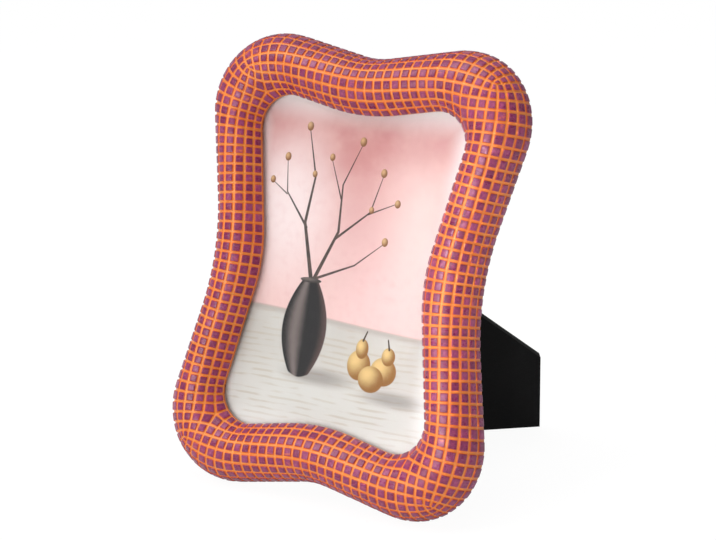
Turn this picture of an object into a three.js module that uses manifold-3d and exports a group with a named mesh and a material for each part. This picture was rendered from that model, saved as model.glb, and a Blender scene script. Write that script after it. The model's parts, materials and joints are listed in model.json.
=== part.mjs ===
// A wavy photo frame that stands on a table. A half-round moulding, covered in raised tiles, waves
// round its opening. Pane, print, card and board lie in its rebate, held by four turn buttons. A leg
// swings behind on a diagonal hinge. Millimetres, +Z up. The front faces -Y and leans back, and the
// origin is at the middle of the base.
import * as THREE from 'three';
import { mergeVertices } from 'three/addons/utils/BufferGeometryUtils.js';
import Module from 'manifold-3d';

const wasm = await Module();
wasm.setup();

const DEG = Math.PI / 180;

// The print, and what lies before and behind it
const PHOTO_W = 102;
const PHOTO_H = 152;
const GLASS_T = 1.6;
const PRINT_T = 0.3;
const CARD_T = 0.8;
const BOARD_T = 2.3;
const REBATE_SLACK = 0.6; // between the rebate's walls and what lies in it
const FIT_GAP = 0.3; // between faces that rest on each other

// The moulding: its opening, its band and the bends of both edges
const LIP_SIDE = 1.25; // least cover over the print's sides
const LIP_END = 4.9; // least cover over its top and bottom
const LIP_T = 1.0; // edge of the lip before the pane
const BAND_SIDE = 25.7; // greatest width of its sides
const BAND_END = 26.9; // and of its top and bottom
const DEPTH = 18.6;
const CORNER_R_OUT = 31.5;
const CORNER_R_IN = 13.4;
const DIP_SIDE_OUT = 10.9; // how far each edge draws in at its middle
const DIP_END_OUT = 7.2;
const DIP_SIDE_IN = 9.5;
const DIP_END_IN = 5.35;
const WAIST_R_SIDE_OUT = 125; // radius of the bend there
const WAIST_R_END_OUT = 36;
const WAIST_R_SIDE_IN = 74;
const WAIST_R_END_IN = 80;

// Its tiles. The net has a three-way point near the outside of each corner, where the rows of the two
// sides fold into each other, and a five-way point inside it. Corners go round from the upper right.
const GROOVE_W = 1.5; // between the tops of two tiles
const GROOVE_D = 0.9;
const TILE_ROWS = 9; // from the outer edge to the opening
const LIP_ROWS = 1; // of these, rows that run on round the opening
const TILE_COLUMNS = [32, 24, 35, 23]; // along the right side, top, left side and bottom
const ROWS_OUTSIDE = [4, 6, 5, 4]; // rows outside each three-way point
const THREE_WAY = [ // share of the way round, and of the way over the moulding
  [0.1445, 0.333],
  [0.3484, 0.583],
  [0.6436, 0.433],
  [0.8484, 0.283],
];

// How it stands
const LEAN = 16.2 * DEG;
const FOOT_FLAT = 1.0; // ground off under the two lower lobes

// Turn buttons and their screws
const BUTTON_W = 8;
const BUTTON_REACH = 12; // pivot to tip
const BUTTON_T = 0.7;
const BUTTON_OUT = 6; // pivot to the rebate's edge
const BUTTON_UP = 46; // pivots above and below the middle
const SCREW_R = 1.4;
const SCREW_L = 9;
const SCREW_HEAD_R = 2.9;
const SCREW_HEAD_H = 0.9;
const SCREW_POINT = 2;

// The leg and its hinge
const LEG_OPEN = 57.8 * DEG; // from folded to its stop
const LEG_LENGTH = 143; // hinge axis to the point of the foot
const LEG_W = 59;
const LEG_T = 3;
const LEG_CHAMFER = 8; // corners beside the hinge
const LEG_CLEAR = 0.4; // folded leg above the screw heads
const HINGE_IN = 38; // middle of the hinge from the board's side
const HINGE_W = 40;
const KNUCKLE_MID = 14;
const LEAF_T = 0.8;
const BOARD_LEAF_L = 17;
const LEG_LEAF_L = 19;
const PIN_R = 1.3;
const PIN_HEAD_R = 2.2;
const PIN_HEAD_T = 0.8;
const STOP_L = 8;
const STOP_W = 10;
const STOP_T = 1.2;
const RIVET_R = 1.5;
const RIVET_HEAD_R = 3;
const RIVET_HEAD_H = 1;
const RIVET_TAIL_T = 0.7;
const RIVET_EDGE = 6.5; // rivet to the end of its leaf
const RIVET_SIDE = 8; // rivet to the side of its leaf

// Facets, and how finely the moulding's surface is tabulated for the tile net
const WAIST_STEPS = 60;
const STRAIGHT_STEPS = 40;
const CORNER_STEPS = 140;
const SECTION_STEPS = 60;
const SECTION_FINE = 400;
const STATIONS = 1128;
const RELAX_ROUNDS = 1200;
const RELAX_STEP = 0.45;
const ROUND_STEPS = 24;
const DOME_STEPS = 4;

// Sizes that follow
const rebateDepth = GLASS_T + PRINT_T + CARD_T + BOARD_T + 4 * FIT_GAP;
const rebateHalfW = PHOTO_W / 2 + REBATE_SLACK;
const rebateHalfH = PHOTO_H / 2 + REBATE_SLACK;
const lipFront = rebateDepth + LIP_T;
const inHalfW = PHOTO_W / 2 - LIP_SIDE;
const inHalfH = PHOTO_H / 2 - LIP_END;
const outHalfW = inHalfW + BAND_SIDE;
const outHalfH = inHalfH + BAND_END;
const table = FOOT_FLAT - outHalfH * Math.cos(LEAN); // level of the table from the frame's middle
const boreR = PIN_R + FIT_GAP;
const rivetHoleR = RIVET_R + FIT_GAP;
const headBase = BUTTON_T + 2 * FIT_GAP; // underside of the screw heads above the back
const legLift = headBase + SCREW_HEAD_H + LEG_CLEAR; // folded leg above the back
const barrelR = (legLift + LEG_T + LEAF_T) / 2;
const hingeOut = FIT_GAP + barrelR; // hinge axis above the back
const legInner = legLift - hingeOut; // inner face of the leg from the hinge axis
const leafStart = barrelR + FIT_GAP; // leaves clear the other leaf's knuckles from here
const hingeX = HINGE_IN - PHOTO_W / 2;
// The hinge runs at 45 degrees. Cut at this angle to the leg's middle line, the foot's edge is level.
const footTurn = Math.atan(Math.cos(LEG_OPEN) + Math.SQRT2 * Math.sin(LEG_OPEN) * Math.tan(LEAN));
// The inner edge of the foot meets the table when the hinge is this high on the back.
const footDown = (LEG_LENGTH * Math.cos(LEG_OPEN) - legInner * Math.sin(LEG_OPEN)) / Math.SQRT2;
const footBack = hingeOut + LEG_LENGTH * Math.sin(LEG_OPEN) + legInner * Math.cos(LEG_OPEN);
const hingeZ = footDown + footBack * Math.tan(LEAN) + table / Math.cos(LEAN);

// Makes a solid that can be joined and cut from a closed geometry.
function solid(geometry) {
  const bare = geometry.clone();
  bare.deleteAttribute('normal');
  bare.deleteAttribute('uv');
  const merged = mergeVertices(bare, 1e-4);
  return new wasm.Manifold(new wasm.Mesh({
    numProp: 3,
    vertProperties: new Float32Array(merged.attributes.position.array),
    triVerts: new Uint32Array(merged.index.array),
  }));
}

// Turns such a solid back into a geometry.
function geometryOf(body) {
  const { vertProperties, triVerts } = body.getMesh();
  const geometry = new THREE.BufferGeometry();
  geometry.setAttribute('position', new THREE.BufferAttribute(vertProperties, 3));
  geometry.setIndex(new THREE.BufferAttribute(triVerts, 1));
  geometry.computeVertexNormals();
  return geometry;
}

// Flat plate of an outline in X and Z, from y = 0 to its thickness.
function plate(outline, thickness) {
  const settings = { depth: thickness, bevelEnabled: false, curveSegments: ROUND_STEPS / 2 };
  const geometry = new THREE.ExtrudeGeometry(outline, settings);
  geometry.rotateX(Math.PI / 2);
  geometry.translate(0, thickness, 0);
  return geometry;
}

// Straight-sided outline through a list of corners.
function polygon(corners) {
  return new THREE.Shape(corners.map(([x, z]) => new THREE.Vector2(x, z)));
}

// Adds a round hole to an outline.
function pierce(outline, x, z, radius) {
  const hole = new THREE.Path();
  hole.absarc(x, z, radius, 0, 2 * Math.PI, true);
  outline.holes.push(hole);
}

// Round rod along Y, from y = low to y = high.
function rodY(radius, low, high) {
  const geometry = new THREE.CylinderGeometry(radius, radius, high - low, ROUND_STEPS);
  geometry.translate(0, (low + high) / 2, 0);
  return geometry;
}

// Round rod along Z, from z = low to z = high.
function rodZ(radius, low, high) {
  const geometry = rodY(radius, low, high);
  geometry.rotateX(Math.PI / 2);
  return geometry;
}

// Profile points of a low dome from its top on the axis down to its rim.
function dome(radius, base, height) {
  return Array.from({ length: DOME_STEPS + 1 }, (_, i) => {
    const turn = (i / DOME_STEPS) * Math.PI / 2;
    return new THREE.Vector2(radius * Math.sin(turn), base + height * Math.cos(turn));
  });
}

// Turned piece about Y from a profile that runs from its top on the axis to its foot on the axis.
function turned(profile) {
  return new THREE.LatheGeometry(profile.slice().reverse(), ROUND_STEPS);
}

// Angle, on a corner arc, of the straight line that also touches the waist arc.
function lineAngle(corner, cornerR, waist, waistR, side) {
  const reach = waist.clone().sub(corner);
  const spread = Math.acos(Math.min(1, (cornerR + waistR) / reach.length()));
  return reach.angle() - (reach.y < 0 ? 2 * Math.PI : 0) + side * spread;
}

// One quarter of a wavy edge, from the middle of its right side to the middle of its top: waist
// arc, straight, corner arc, straight, waist arc.
function quarterEdge({ halfW, halfH, cornerR, dipSide, dipEnd, waistSide, waistEnd }) {
  const corner = new THREE.Vector2(halfW - cornerR, halfH - cornerR);
  // A waist arc is at most the one that meets the corner arcs with no straight between.
  const meets = (dip, across) => {
    const u = cornerR - dip;
    return (u * u + across * across - cornerR * cornerR) / (2 * dip);
  };
  const sideR = Math.min(waistSide, meets(dipSide, corner.y));
  const endR = Math.min(waistEnd, meets(dipEnd, corner.x));
  const sideMid = new THREE.Vector2(halfW - dipSide + sideR, 0);
  const endMid = new THREE.Vector2(0, halfH - dipEnd + endR);
  const from = lineAngle(corner, cornerR, sideMid, sideR, 1);
  const to = lineAngle(corner, cornerR, endMid, endR, -1);
  const at = (centre, radius, turn) =>
    new THREE.Vector2(Math.cos(turn), Math.sin(turn)).multiplyScalar(radius).add(centre);
  const points = [];
  for (let i = 0; i < WAIST_STEPS; i += 1) {
    points.push(at(sideMid, -sideR, from * i / WAIST_STEPS));
  }
  for (let i = 0; i < STRAIGHT_STEPS; i += 1) {
    const start = at(sideMid, -sideR, from);
    points.push(start.lerp(at(corner, cornerR, from), i / STRAIGHT_STEPS));
  }
  for (let i = 0; i < CORNER_STEPS; i += 1) {
    points.push(at(corner, cornerR, from + (to - from) * i / CORNER_STEPS));
  }
  for (let i = 0; i < STRAIGHT_STEPS; i += 1) {
    const start = at(corner, cornerR, to);
    points.push(start.lerp(at(endMid, -endR, to), i / STRAIGHT_STEPS));
  }
  for (let i = 0; i <= WAIST_STEPS; i += 1) {
    points.push(at(endMid, -endR, to + (Math.PI / 2 - to) * i / WAIST_STEPS));
  }
  return points;
}

// The whole edge, once round from the middle of the right side.
function wholeEdge(sizes) {
  const first = quarterEdge(sizes);
  const mirror = (points, sx, sy) => points.map((p) => new THREE.Vector2(sx * p.x, sy * p.y));
  const second = mirror(first, -1, 1).reverse().slice(1);
  const half = first.concat(second);
  return half.slice(0, -1).concat(mirror(half, -1, -1).slice(0, -1));
}

// Points that lie evenly over one half-round section, from the outer edge to the lip.
function sectionPoints(outer, inner, lastTurn, shareAt) {
  const width = outer.distanceTo(inner);
  const turns = Array.from({ length: SECTION_FINE }, (_, i) => lastTurn * i / (SECTION_FINE - 1));
  const reach = [0];
  for (let i = 1; i < SECTION_FINE; i += 1) {
    const over = width * (shareAt(turns[i]) - shareAt(turns[i - 1]));
    const up = DEPTH * (Math.sin(turns[i]) - Math.sin(turns[i - 1]));
    reach.push(reach[i - 1] + Math.hypot(over, up));
  }
  const points = [];
  for (let i = 0, k = 0; i <= SECTION_STEPS; i += 1) {
    const at = reach[SECTION_FINE - 1] * i / SECTION_STEPS;
    while (k < SECTION_FINE - 2 && reach[k + 1] < at) k += 1;
    const part = Math.min(1, (at - reach[k]) / (reach[k + 1] - reach[k]));
    const turn = turns[k] + (turns[k + 1] - turns[k]) * part;
    const p = outer.clone().lerp(inner, shareAt(turn));
    points.push(p.x, -DEPTH * Math.sin(turn), p.y);
  }
  return points;
}

// The half-round surface between the wavy edges, as a table of points that lie evenly along its
// crest and over its sections. Its places are asked for by the run along the crest and the share of
// the way over the section.
function mouldingSurface() {
  const outer = wholeEdge({
    halfW: outHalfW,
    halfH: outHalfH,
    cornerR: CORNER_R_OUT,
    dipSide: DIP_SIDE_OUT,
    dipEnd: DIP_END_OUT,
    waistSide: WAIST_R_SIDE_OUT,
    waistEnd: WAIST_R_END_OUT,
  });
  const inner = wholeEdge({
    halfW: inHalfW,
    halfH: inHalfH,
    cornerR: CORNER_R_IN,
    dipSide: DIP_SIDE_IN,
    dipEnd: DIP_END_IN,
    waistSide: WAIST_R_SIDE_IN,
    waistEnd: WAIST_R_END_IN,
  });
  const lastTurn = Math.PI - Math.asin(lipFront / DEPTH);
  const shareAt = (turn) => (1 - Math.cos(turn)) / (1 - Math.cos(lastTurn));
  const crest = outer.map((o, i) => o.clone().lerp(inner[i], shareAt(Math.PI / 2)));
  const runs = [0];
  crest.forEach((p, i) => runs.push(runs[i] + p.distanceTo(crest[(i + 1) % crest.length])));
  const length = runs[crest.length];
  const rows = [];
  for (let i = 0, k = 0; i < STATIONS; i += 1) {
    const at = length * i / STATIONS;
    while (runs[k + 1] < at) k += 1;
    const part = (at - runs[k]) / (runs[k + 1] - runs[k]);
    const next = (k + 1) % crest.length;
    const o = outer[k].clone().lerp(outer[next], part);
    const n = inner[k].clone().lerp(inner[next], part);
    rows.push(sectionPoints(o, n, lastTurn, shareAt));
  }
  const place = (run, share, target) => {
    const t = run / length * STATIONS;
    const s = Math.min(1, Math.max(0, share)) * SECTION_STEPS;
    const i = Math.floor(t);
    const j = Math.min(Math.floor(s), SECTION_STEPS - 1);
    const a = rows[((i % STATIONS) + STATIONS) % STATIONS];
    const b = rows[(((i + 1) % STATIONS) + STATIONS) % STATIONS];
    const [f, g] = [t - i, s - j];
    for (let d = 0; d < 3; d += 1) {
      const low = a[3 * j + d] * (1 - f) + b[3 * j + d] * f;
      const high = a[3 * j + 3 + d] * (1 - f) + b[3 * j + 3 + d] * f;
      target.setComponent(d, low * (1 - g) + high * g);
    }
    return target;
  };
  const ends = [new THREE.Vector3(), new THREE.Vector3()];
  // How the place changes with the run and with the share.
  const slopes = (run, share, along, across) => {
    along.subVectors(place(run + 0.25, share, ends[0]), place(run - 0.25, share, ends[1]));
    along.multiplyScalar(2);
    const [low, high] = [Math.max(0, share - 0.01), Math.min(1, share + 0.01)];
    across.subVectors(place(run, high, ends[0]), place(run, low, ends[1]));
    across.divideScalar(high - low);
  };
  return { length, place, slopes };
}

// The tile net before it is evened out: its points, its four-sided cells, the loops along both edges
// and the three-way points. Each corner has a square patch of cells between its two special points,
// and a strip of cells beside the patch on either side of the fold.
function tileNet(length) {
  const points = [];
  const cells = [];
  const strips = [];
  const threeWay = [];
  const outerLoop = [];
  const innerLoop = [];
  const innerRow = TILE_ROWS - LIP_ROWS;
  const square = ROWS_OUTSIDE.map((rows) => innerRow - rows);
  const corners = THREE_WAY.map(([round]) => round * length);
  const outerColumns = TILE_COLUMNS.reduce((sum, n) => sum + n, 0)
    + 2 * square.reduce((sum, n) => sum + n, 0);
  const pitch = length / outerColumns;
  const add = (run, share) => points.push({ run, share }) - 1;
  const fill = (block) => {
    for (let a = 0; a + 1 < block.length; a += 1) {
      for (let b = 0; b + 1 < block[a].length; b += 1) {
        cells.push([block[a][b], block[a + 1][b], block[a + 1][b + 1], block[a][b + 1]]);
      }
    }
  };
  const sides = TILE_COLUMNS.map((columns, r) => {
    const before = (r + 3) % 4;
    const start = corners[before] - (r === 0 ? length : 0);
    const pull = (corner, row) =>
      pitch * Math.min(square[corner], Math.max(0, innerRow - row));
    return Array.from({ length: columns + 1 }, (_, i) =>
      Array.from({ length: TILE_ROWS + 1 }, (__, j) => {
        const from = start + pull(before, j);
        const to = corners[r] - pull(r, j);
        return add(from + (to - from) * i / columns, j / TILE_ROWS);
      }));
  });
  for (let c = 0; c < 4; c += 1) {
    const last = sides[c][TILE_COLUMNS[c]];
    const first = sides[(c + 1) % 4][0];
    const outside = ROWS_OUTSIDE[c];
    const m = square[c];
    const low = outside / TILE_ROWS;
    const high = innerRow / TILE_ROWS;
    for (let j = innerRow; j <= TILE_ROWS; j += 1) first[j] = last[j];
    const patch = Array.from({ length: m + 1 }, (_, u) =>
      Array.from({ length: m + 1 }, (__, v) => {
        if (u === 0) return last[outside + v];
        if (v === m) return first[innerRow - u];
        const [a, b] = [u / m, v / m];
        return add(corners[c] + (a + b - 1) * m * pitch, low + (high - low) * b * (1 - a));
      }));
    const strip = Array.from({ length: 2 * m + 1 }, (_, k) => {
      if (k === 0) return last.slice(0, outside + 1);
      if (k === 2 * m) return first.slice(0, outside + 1);
      const end = k <= m ? patch[k][0] : patch[m][k - m];
      const column = Array.from({ length: outside }, (__, j) =>
        add(corners[c] + (k - m) * pitch, points[end].share * j / outside));
      return [...column, end];
    });
    fill(patch);
    fill(strip);
    strips.push(strip);
    threeWay.push(patch[m][0]);
  }
  sides.forEach((side, c) => {
    fill(side);
    innerLoop.push(...side.slice(0, -1).map((column) => column[TILE_ROWS]));
    outerLoop.push(...side.slice(0, -1).map((column) => column[0]));
    outerLoop.push(...strips[c].slice(0, -1).map((column) => column[0]));
  });
  return { points, cells, outerLoop, innerLoop, threeWay };
}

// Evens the net out on the surface. Points on the edges slide along them, and three-way points stay.
function evenOut(surface, { points, cells, threeWay }) {
  const beside = points.map(() => new Set());
  cells.forEach((cell) => cell.forEach((p, k) => {
    const q = cell[(k + 1) % 4];
    beside[p].add(q);
    beside[q].add(p);
  }));
  const near = beside.map((set) => [...set]);
  threeWay.forEach((p, c) => {
    points[p].run = THREE_WAY[c][0] * surface.length;
    points[p].share = THREE_WAY[c][1];
    near[p] = [];
  });
  const places = points.map(() => new THREE.Vector3());
  const [pull, along, across] = [new THREE.Vector3(), new THREE.Vector3(), new THREE.Vector3()];
  for (let round = 0; round < RELAX_ROUNDS; round += 1) {
    points.forEach((p, i) => surface.place(p.run, p.share, places[i]));
    points.forEach((p, i) => {
      if (near[i].length === 0) return;
      pull.set(0, 0, 0);
      near[i].forEach((k) => pull.add(places[k]));
      pull.divideScalar(near[i].length).sub(places[i]);
      surface.slopes(p.run, p.share, along, across);
      const [aa, ab, bb] = [along.dot(along), along.dot(across), across.dot(across)];
      const [da, db] = [along.dot(pull), across.dot(pull)];
      const det = aa * bb - ab * ab;
      const rim = p.share <= 0 || p.share >= 1;
      p.run += RELAX_STEP * (rim ? da / aa : (bb * da - ab * db) / det);
      if (!rim) {
        const share = p.share + RELAX_STEP * (aa * db - ab * da) / det;
        p.share = Math.min(0.999, Math.max(0.001, share));
      }
    });
  }
}

// The tiled moulding, before the rebate is cut. Grooves follow the net's lines, and each cell's tile
// top lies on the half-round surface. The grooves run out at both edges and under the feet.
function tiledRing() {
  const surface = mouldingSurface();
  const net = tileNet(surface.length);
  evenOut(surface, net);
  const positions = [];
  const indices = [];
  const put = (p) => positions.push(p.x, p.y, p.z) / 3 - 1;
  const [along, across] = [new THREE.Vector3(), new THREE.Vector3()];
  const onEdge = net.points.map(({ share }) => share <= 0 || share >= 1);
  const groove = net.points.map(({ run, share }, i) => {
    const p = surface.place(run, share, new THREE.Vector3());
    surface.slopes(run, share, along, across);
    const height = p.z * Math.cos(LEAN) - p.y * Math.sin(LEAN) - table;
    const drop = onEdge[i] ? 0 : Math.min(GROOVE_D, Math.max(0, height));
    return p.addScaledVector(across.cross(along).normalize(), drop);
  });
  groove.forEach(put);
  const face = (a, b, c) => {
    if (a !== b && b !== c && c !== a) indices.push(a, b, c);
  };
  for (const cell of net.cells) {
    const runs = cell.map((k) => net.points[k].run);
    runs.forEach((run, k) => {
      runs[k] += surface.length * Math.round((runs[0] - run) / surface.length);
    });
    const gap = (a, b) => groove[cell[a]].distanceTo(groove[cell[b]]);
    const u = GROOVE_W / (gap(0, 1) + gap(3, 2));
    const v = GROOVE_W / (gap(0, 3) + gap(1, 2));
    const top = [[u, v], [1 - u, v], [1 - u, 1 - v], [u, 1 - v]].map(([a, b], corner) => {
      if (onEdge[cell[corner]]) return cell[corner];
      const weights = [(1 - a) * (1 - b), a * (1 - b), a * b, (1 - a) * b];
      const mean = (list) => list.reduce((sum, value, k) => sum + value * weights[k], 0);
      const share = mean(cell.map((k) => net.points[k].share));
      return put(surface.place(mean(runs), share, new THREE.Vector3()));
    });
    face(top[0], top[1], top[2]);
    face(top[0], top[2], top[3]);
    cell.forEach((p, k) => {
      const q = cell[(k + 1) % 4];
      const [s, t] = [top[k], top[(k + 1) % 4]];
      face(p, q, t);
      face(p, t, s);
    });
  }
  const foot = net.innerLoop.map((p) => put(groove[p].clone().setY(0)));
  net.innerLoop.forEach((p, i) => {
    const next = (i + 1) % foot.length;
    indices.push(p, net.innerLoop[next], foot[next], p, foot[next], foot[i]);
  });
  const back = [...net.outerLoop, ...foot];
  const flat = (k) => new THREE.Vector2(positions[3 * k], positions[3 * k + 2]);
  const faces = THREE.ShapeUtils.triangulateShape(net.outerLoop.map(flat), [foot.map(flat)]);
  for (const face of faces) {
    const [a, b, c] = face.map((k) => flat(back[k]));
    const facesBack = b.clone().sub(a).cross(c.clone().sub(a)) < 0;
    const [i, j, k] = face.map((n) => back[n]);
    indices.push(...(facesBack ? [i, j, k] : [i, k, j]));
  }
  const geometry = new THREE.BufferGeometry();
  geometry.setAttribute('position', new THREE.Float32BufferAttribute(positions, 3));
  geometry.setIndex(indices);
  return geometry;
}

// Pivots of the turn buttons, seen from the front, and the way each one points.
function buttonPlaces() {
  const x = rebateHalfW + BUTTON_OUT;
  return [
    { name: 'upper_left', x: -x, z: BUTTON_UP, turn: 0 },
    { name: 'upper_right', x, z: BUTTON_UP, turn: Math.PI },
    { name: 'lower_left', x: -x, z: -BUTTON_UP, turn: 0 },
    { name: 'lower_right', x, z: -BUTTON_UP, turn: Math.PI },
  ];
}

// Rivets beside the hinge, as distances along the leg and along the hinge axis.
function rivetPlaces(along) {
  const side = HINGE_W / 2 - RIVET_SIDE;
  return [[along, -side], [along, side]];
}

// Where a point beside the hinge lies on the back of the frame.
function onBack([along, side]) {
  return [hingeX + (along + side) * Math.SQRT1_2, hingeZ + (side - along) * Math.SQRT1_2];
}

function mouldingGeometry() {
  const pocket = new THREE.BoxGeometry(2 * rebateHalfW, rebateDepth + DEPTH, 2 * rebateHalfH);
  pocket.translate(0, (DEPTH - rebateDepth) / 2, 0);
  const underTable = new THREE.BoxGeometry(4 * outHalfW, 4 * DEPTH, 2 * BAND_END);
  underTable.translate(0, 0, table - BAND_END);
  underTable.rotateX(LEAN);
  let body = solid(tiledRing()).subtract(solid(pocket)).subtract(solid(underTable));
  for (const { x, z } of buttonPlaces()) {
    const hole = rodY(SCREW_R + FIT_GAP, -SCREW_L - FIT_GAP, DEPTH);
    hole.translate(x, 0, z);
    body = body.subtract(solid(hole));
  }
  return geometryOf(body);
}

function backBoardGeometry() {
  const box = new THREE.BoxGeometry(PHOTO_W, BOARD_T, PHOTO_H);
  box.translate(0, -BOARD_T / 2, 0);
  let body = solid(box);
  for (const place of rivetPlaces(RIVET_EDGE - BOARD_LEAF_L)) {
    const [x, z] = onBack(place);
    const hole = rodY(rivetHoleR, -2 * BOARD_T, BOARD_T);
    const seat = rodY(RIVET_HEAD_R + FIT_GAP, -2 * BOARD_T, RIVET_TAIL_T + FIT_GAP - BOARD_T);
    hole.translate(x, 0, z);
    seat.translate(x, 0, z);
    body = body.subtract(solid(hole)).subtract(solid(seat));
  }
  return geometryOf(body);
}

function turnButtonGeometry() {
  const round = BUTTON_W / 2;
  const outline = new THREE.Shape();
  outline.absarc(0, 0, round, Math.PI / 2, 3 * Math.PI / 2, false);
  outline.absarc(BUTTON_REACH - round, 0, round, -Math.PI / 2, Math.PI / 2, false);
  pierce(outline, 0, 0, SCREW_R + FIT_GAP);
  return plate(outline, BUTTON_T);
}

function screwGeometry() {
  return turned([
    ...dome(SCREW_HEAD_R, headBase, SCREW_HEAD_H),
    new THREE.Vector2(SCREW_R, headBase),
    new THREE.Vector2(SCREW_R, SCREW_POINT - SCREW_L),
    new THREE.Vector2(0, -SCREW_L),
  ]);
}

// Rivet with a domed head from base up and a flat tail that ends at the foot.
function rivetGeometry(base, foot) {
  return turned([
    ...dome(RIVET_HEAD_R, base, RIVET_HEAD_H),
    new THREE.Vector2(RIVET_R, base),
    new THREE.Vector2(RIVET_R, foot + RIVET_TAIL_T),
    new THREE.Vector2(RIVET_HEAD_R, foot + RIVET_TAIL_T),
    new THREE.Vector2(RIVET_HEAD_R, foot),
    new THREE.Vector2(0, foot),
  ]);
}

function hingePinGeometry() {
  const half = HINGE_W / 2 + FIT_GAP;
  const pin = turned([
    new THREE.Vector2(0, half + PIN_HEAD_T),
    new THREE.Vector2(PIN_HEAD_R, half + PIN_HEAD_T),
    new THREE.Vector2(PIN_HEAD_R, half),
    new THREE.Vector2(PIN_R, half),
    new THREE.Vector2(PIN_R, -half),
    new THREE.Vector2(PIN_HEAD_R, -half),
    new THREE.Vector2(PIN_HEAD_R, -half - PIN_HEAD_T),
    new THREE.Vector2(0, -half - PIN_HEAD_T),
  ]);
  pin.rotateX(Math.PI / 2);
  return pin;
}

// Leaf on the back board: a plate under the axis with a knuckle at each end.
function boardLeafGeometry() {
  const half = HINGE_W / 2;
  const gap = KNUCKLE_MID / 2 + FIT_GAP;
  const outline = polygon([
    [-BOARD_LEAF_L, -half],
    [0, -half],
    [0, -gap],
    [-leafStart, -gap],
    [-leafStart, gap],
    [0, gap],
    [0, half],
    [-BOARD_LEAF_L, half],
  ]);
  for (const [along, side] of rivetPlaces(RIVET_EDGE - BOARD_LEAF_L)) {
    pierce(outline, along, side, rivetHoleR);
  }
  const leaf = plate(outline, LEAF_T);
  leaf.translate(0, -barrelR, 0);
  const body = solid(leaf)
    .add(solid(rodZ(barrelR, -half, -gap)))
    .add(solid(rodZ(barrelR, gap, half)))
    .subtract(solid(rodZ(boreR, -HINGE_W, HINGE_W)));
  return geometryOf(body);
}

// Leaf on the leg: a plate over the axis with the middle knuckle, and a tab that lies on the
// other leaf when the leg is open and stops it there.
function legLeafGeometry() {
  const half = HINGE_W / 2;
  const mid = KNUCKLE_MID / 2;
  const outline = polygon([
    [0, -mid],
    [leafStart, -mid],
    [leafStart, -half],
    [LEG_LEAF_L, -half],
    [LEG_LEAF_L, half],
    [leafStart, half],
    [leafStart, mid],
    [0, mid],
  ]);
  for (const [along, side] of rivetPlaces(LEG_LEAF_L - RIVET_EDGE)) {
    pierce(outline, along, side, rivetHoleR);
  }
  const leaf = plate(outline, LEAF_T);
  leaf.translate(0, barrelR - LEAF_T, 0);
  const stop = new THREE.BoxGeometry(STOP_L, STOP_T, STOP_W);
  stop.translate(-STOP_L / 2, LEAF_T + FIT_GAP - barrelR + STOP_T / 2, 0);
  stop.rotateZ(-LEG_OPEN);
  const body = solid(leaf)
    .add(solid(rodZ(barrelR, -mid, mid)))
    .add(solid(stop))
    .subtract(solid(rodZ(boreR, -HINGE_W, HINGE_W)));
  return geometryOf(body);
}

// The leg: a strip with a point for its foot, so that either edge of it can stand.
function legGeometry() {
  const half = LEG_W / 2;
  const shoulder = LEG_LENGTH - half / Math.tan(footTurn);
  const outline = polygon([
    [leafStart, LEG_CHAMFER - half],
    [leafStart + LEG_CHAMFER, -half],
    [shoulder, -half],
    [LEG_LENGTH, 0],
    [shoulder, half],
    [leafStart + LEG_CHAMFER, half],
    [leafStart, half - LEG_CHAMFER],
  ]);
  for (const [along, side] of rivetPlaces(LEG_LEAF_L - RIVET_EDGE)) {
    pierce(outline, along, side, rivetHoleR);
  }
  const geometry = plate(outline, LEG_T);
  geometry.translate(0, legInner, 0);
  return geometry;
}

// Flat sheet as large as the print, with its front at y = front.
function sheetGeometry(thickness, front) {
  const geometry = new THREE.BoxGeometry(PHOTO_W, thickness, PHOTO_H);
  geometry.translate(0, front + thickness / 2, 0);
  return geometry;
}

function material(color, roughness, metalness = 0) {
  return new THREE.MeshStandardMaterial({ color, roughness, metalness });
}

function addPiece(group, name, geometry, look) {
  const mesh = new THREE.Mesh(geometry, look);
  mesh.name = name;
  group.add(mesh);
  return mesh;
}

const cover = () => material(0x141414, 0.9);
const steel = () => material(0xa8a8a6, 0.35, 1);
const blackSteel = () => material(0x222222, 0.5, 0.6);
const frame = new THREE.Group();

// Everything but the leg is fixed to the leaning panel: X across, Y to the back, Z up its back.
const panel = new THREE.Group();
panel.rotation.x = -LEAN;
frame.add(panel);
const printFront = FIT_GAP * 2 + GLASS_T - rebateDepth;
const cardFront = printFront + PRINT_T + FIT_GAP;
const pane = material(0xf4f8f8, 0.05);
pane.transparent = true;
pane.opacity = 0.25;
addPiece(panel, 'frame_moulding', mouldingGeometry(), material(0x9a4668, 0.4));
addPiece(panel, 'glass_pane', sheetGeometry(GLASS_T, FIT_GAP - rebateDepth), pane);
addPiece(panel, 'photo_print', sheetGeometry(PRINT_T, printFront), material(0xe8c8c4, 0.5));
addPiece(panel, 'filler_card', sheetGeometry(CARD_T, cardFront), material(0xb9a98c, 0.9));
addPiece(panel, 'back_board', backBoardGeometry(), cover());
for (const { name, x, z, turn } of buttonPlaces()) {
  const button = addPiece(panel, `turn_button_${name}`, turnButtonGeometry(), steel());
  button.position.set(x, FIT_GAP, z);
  button.rotation.y = turn;
  const screw = addPiece(panel, `turn_button_screw_${name}`, screwGeometry(), steel());
  screw.position.set(x, 0, z);
}

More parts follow.
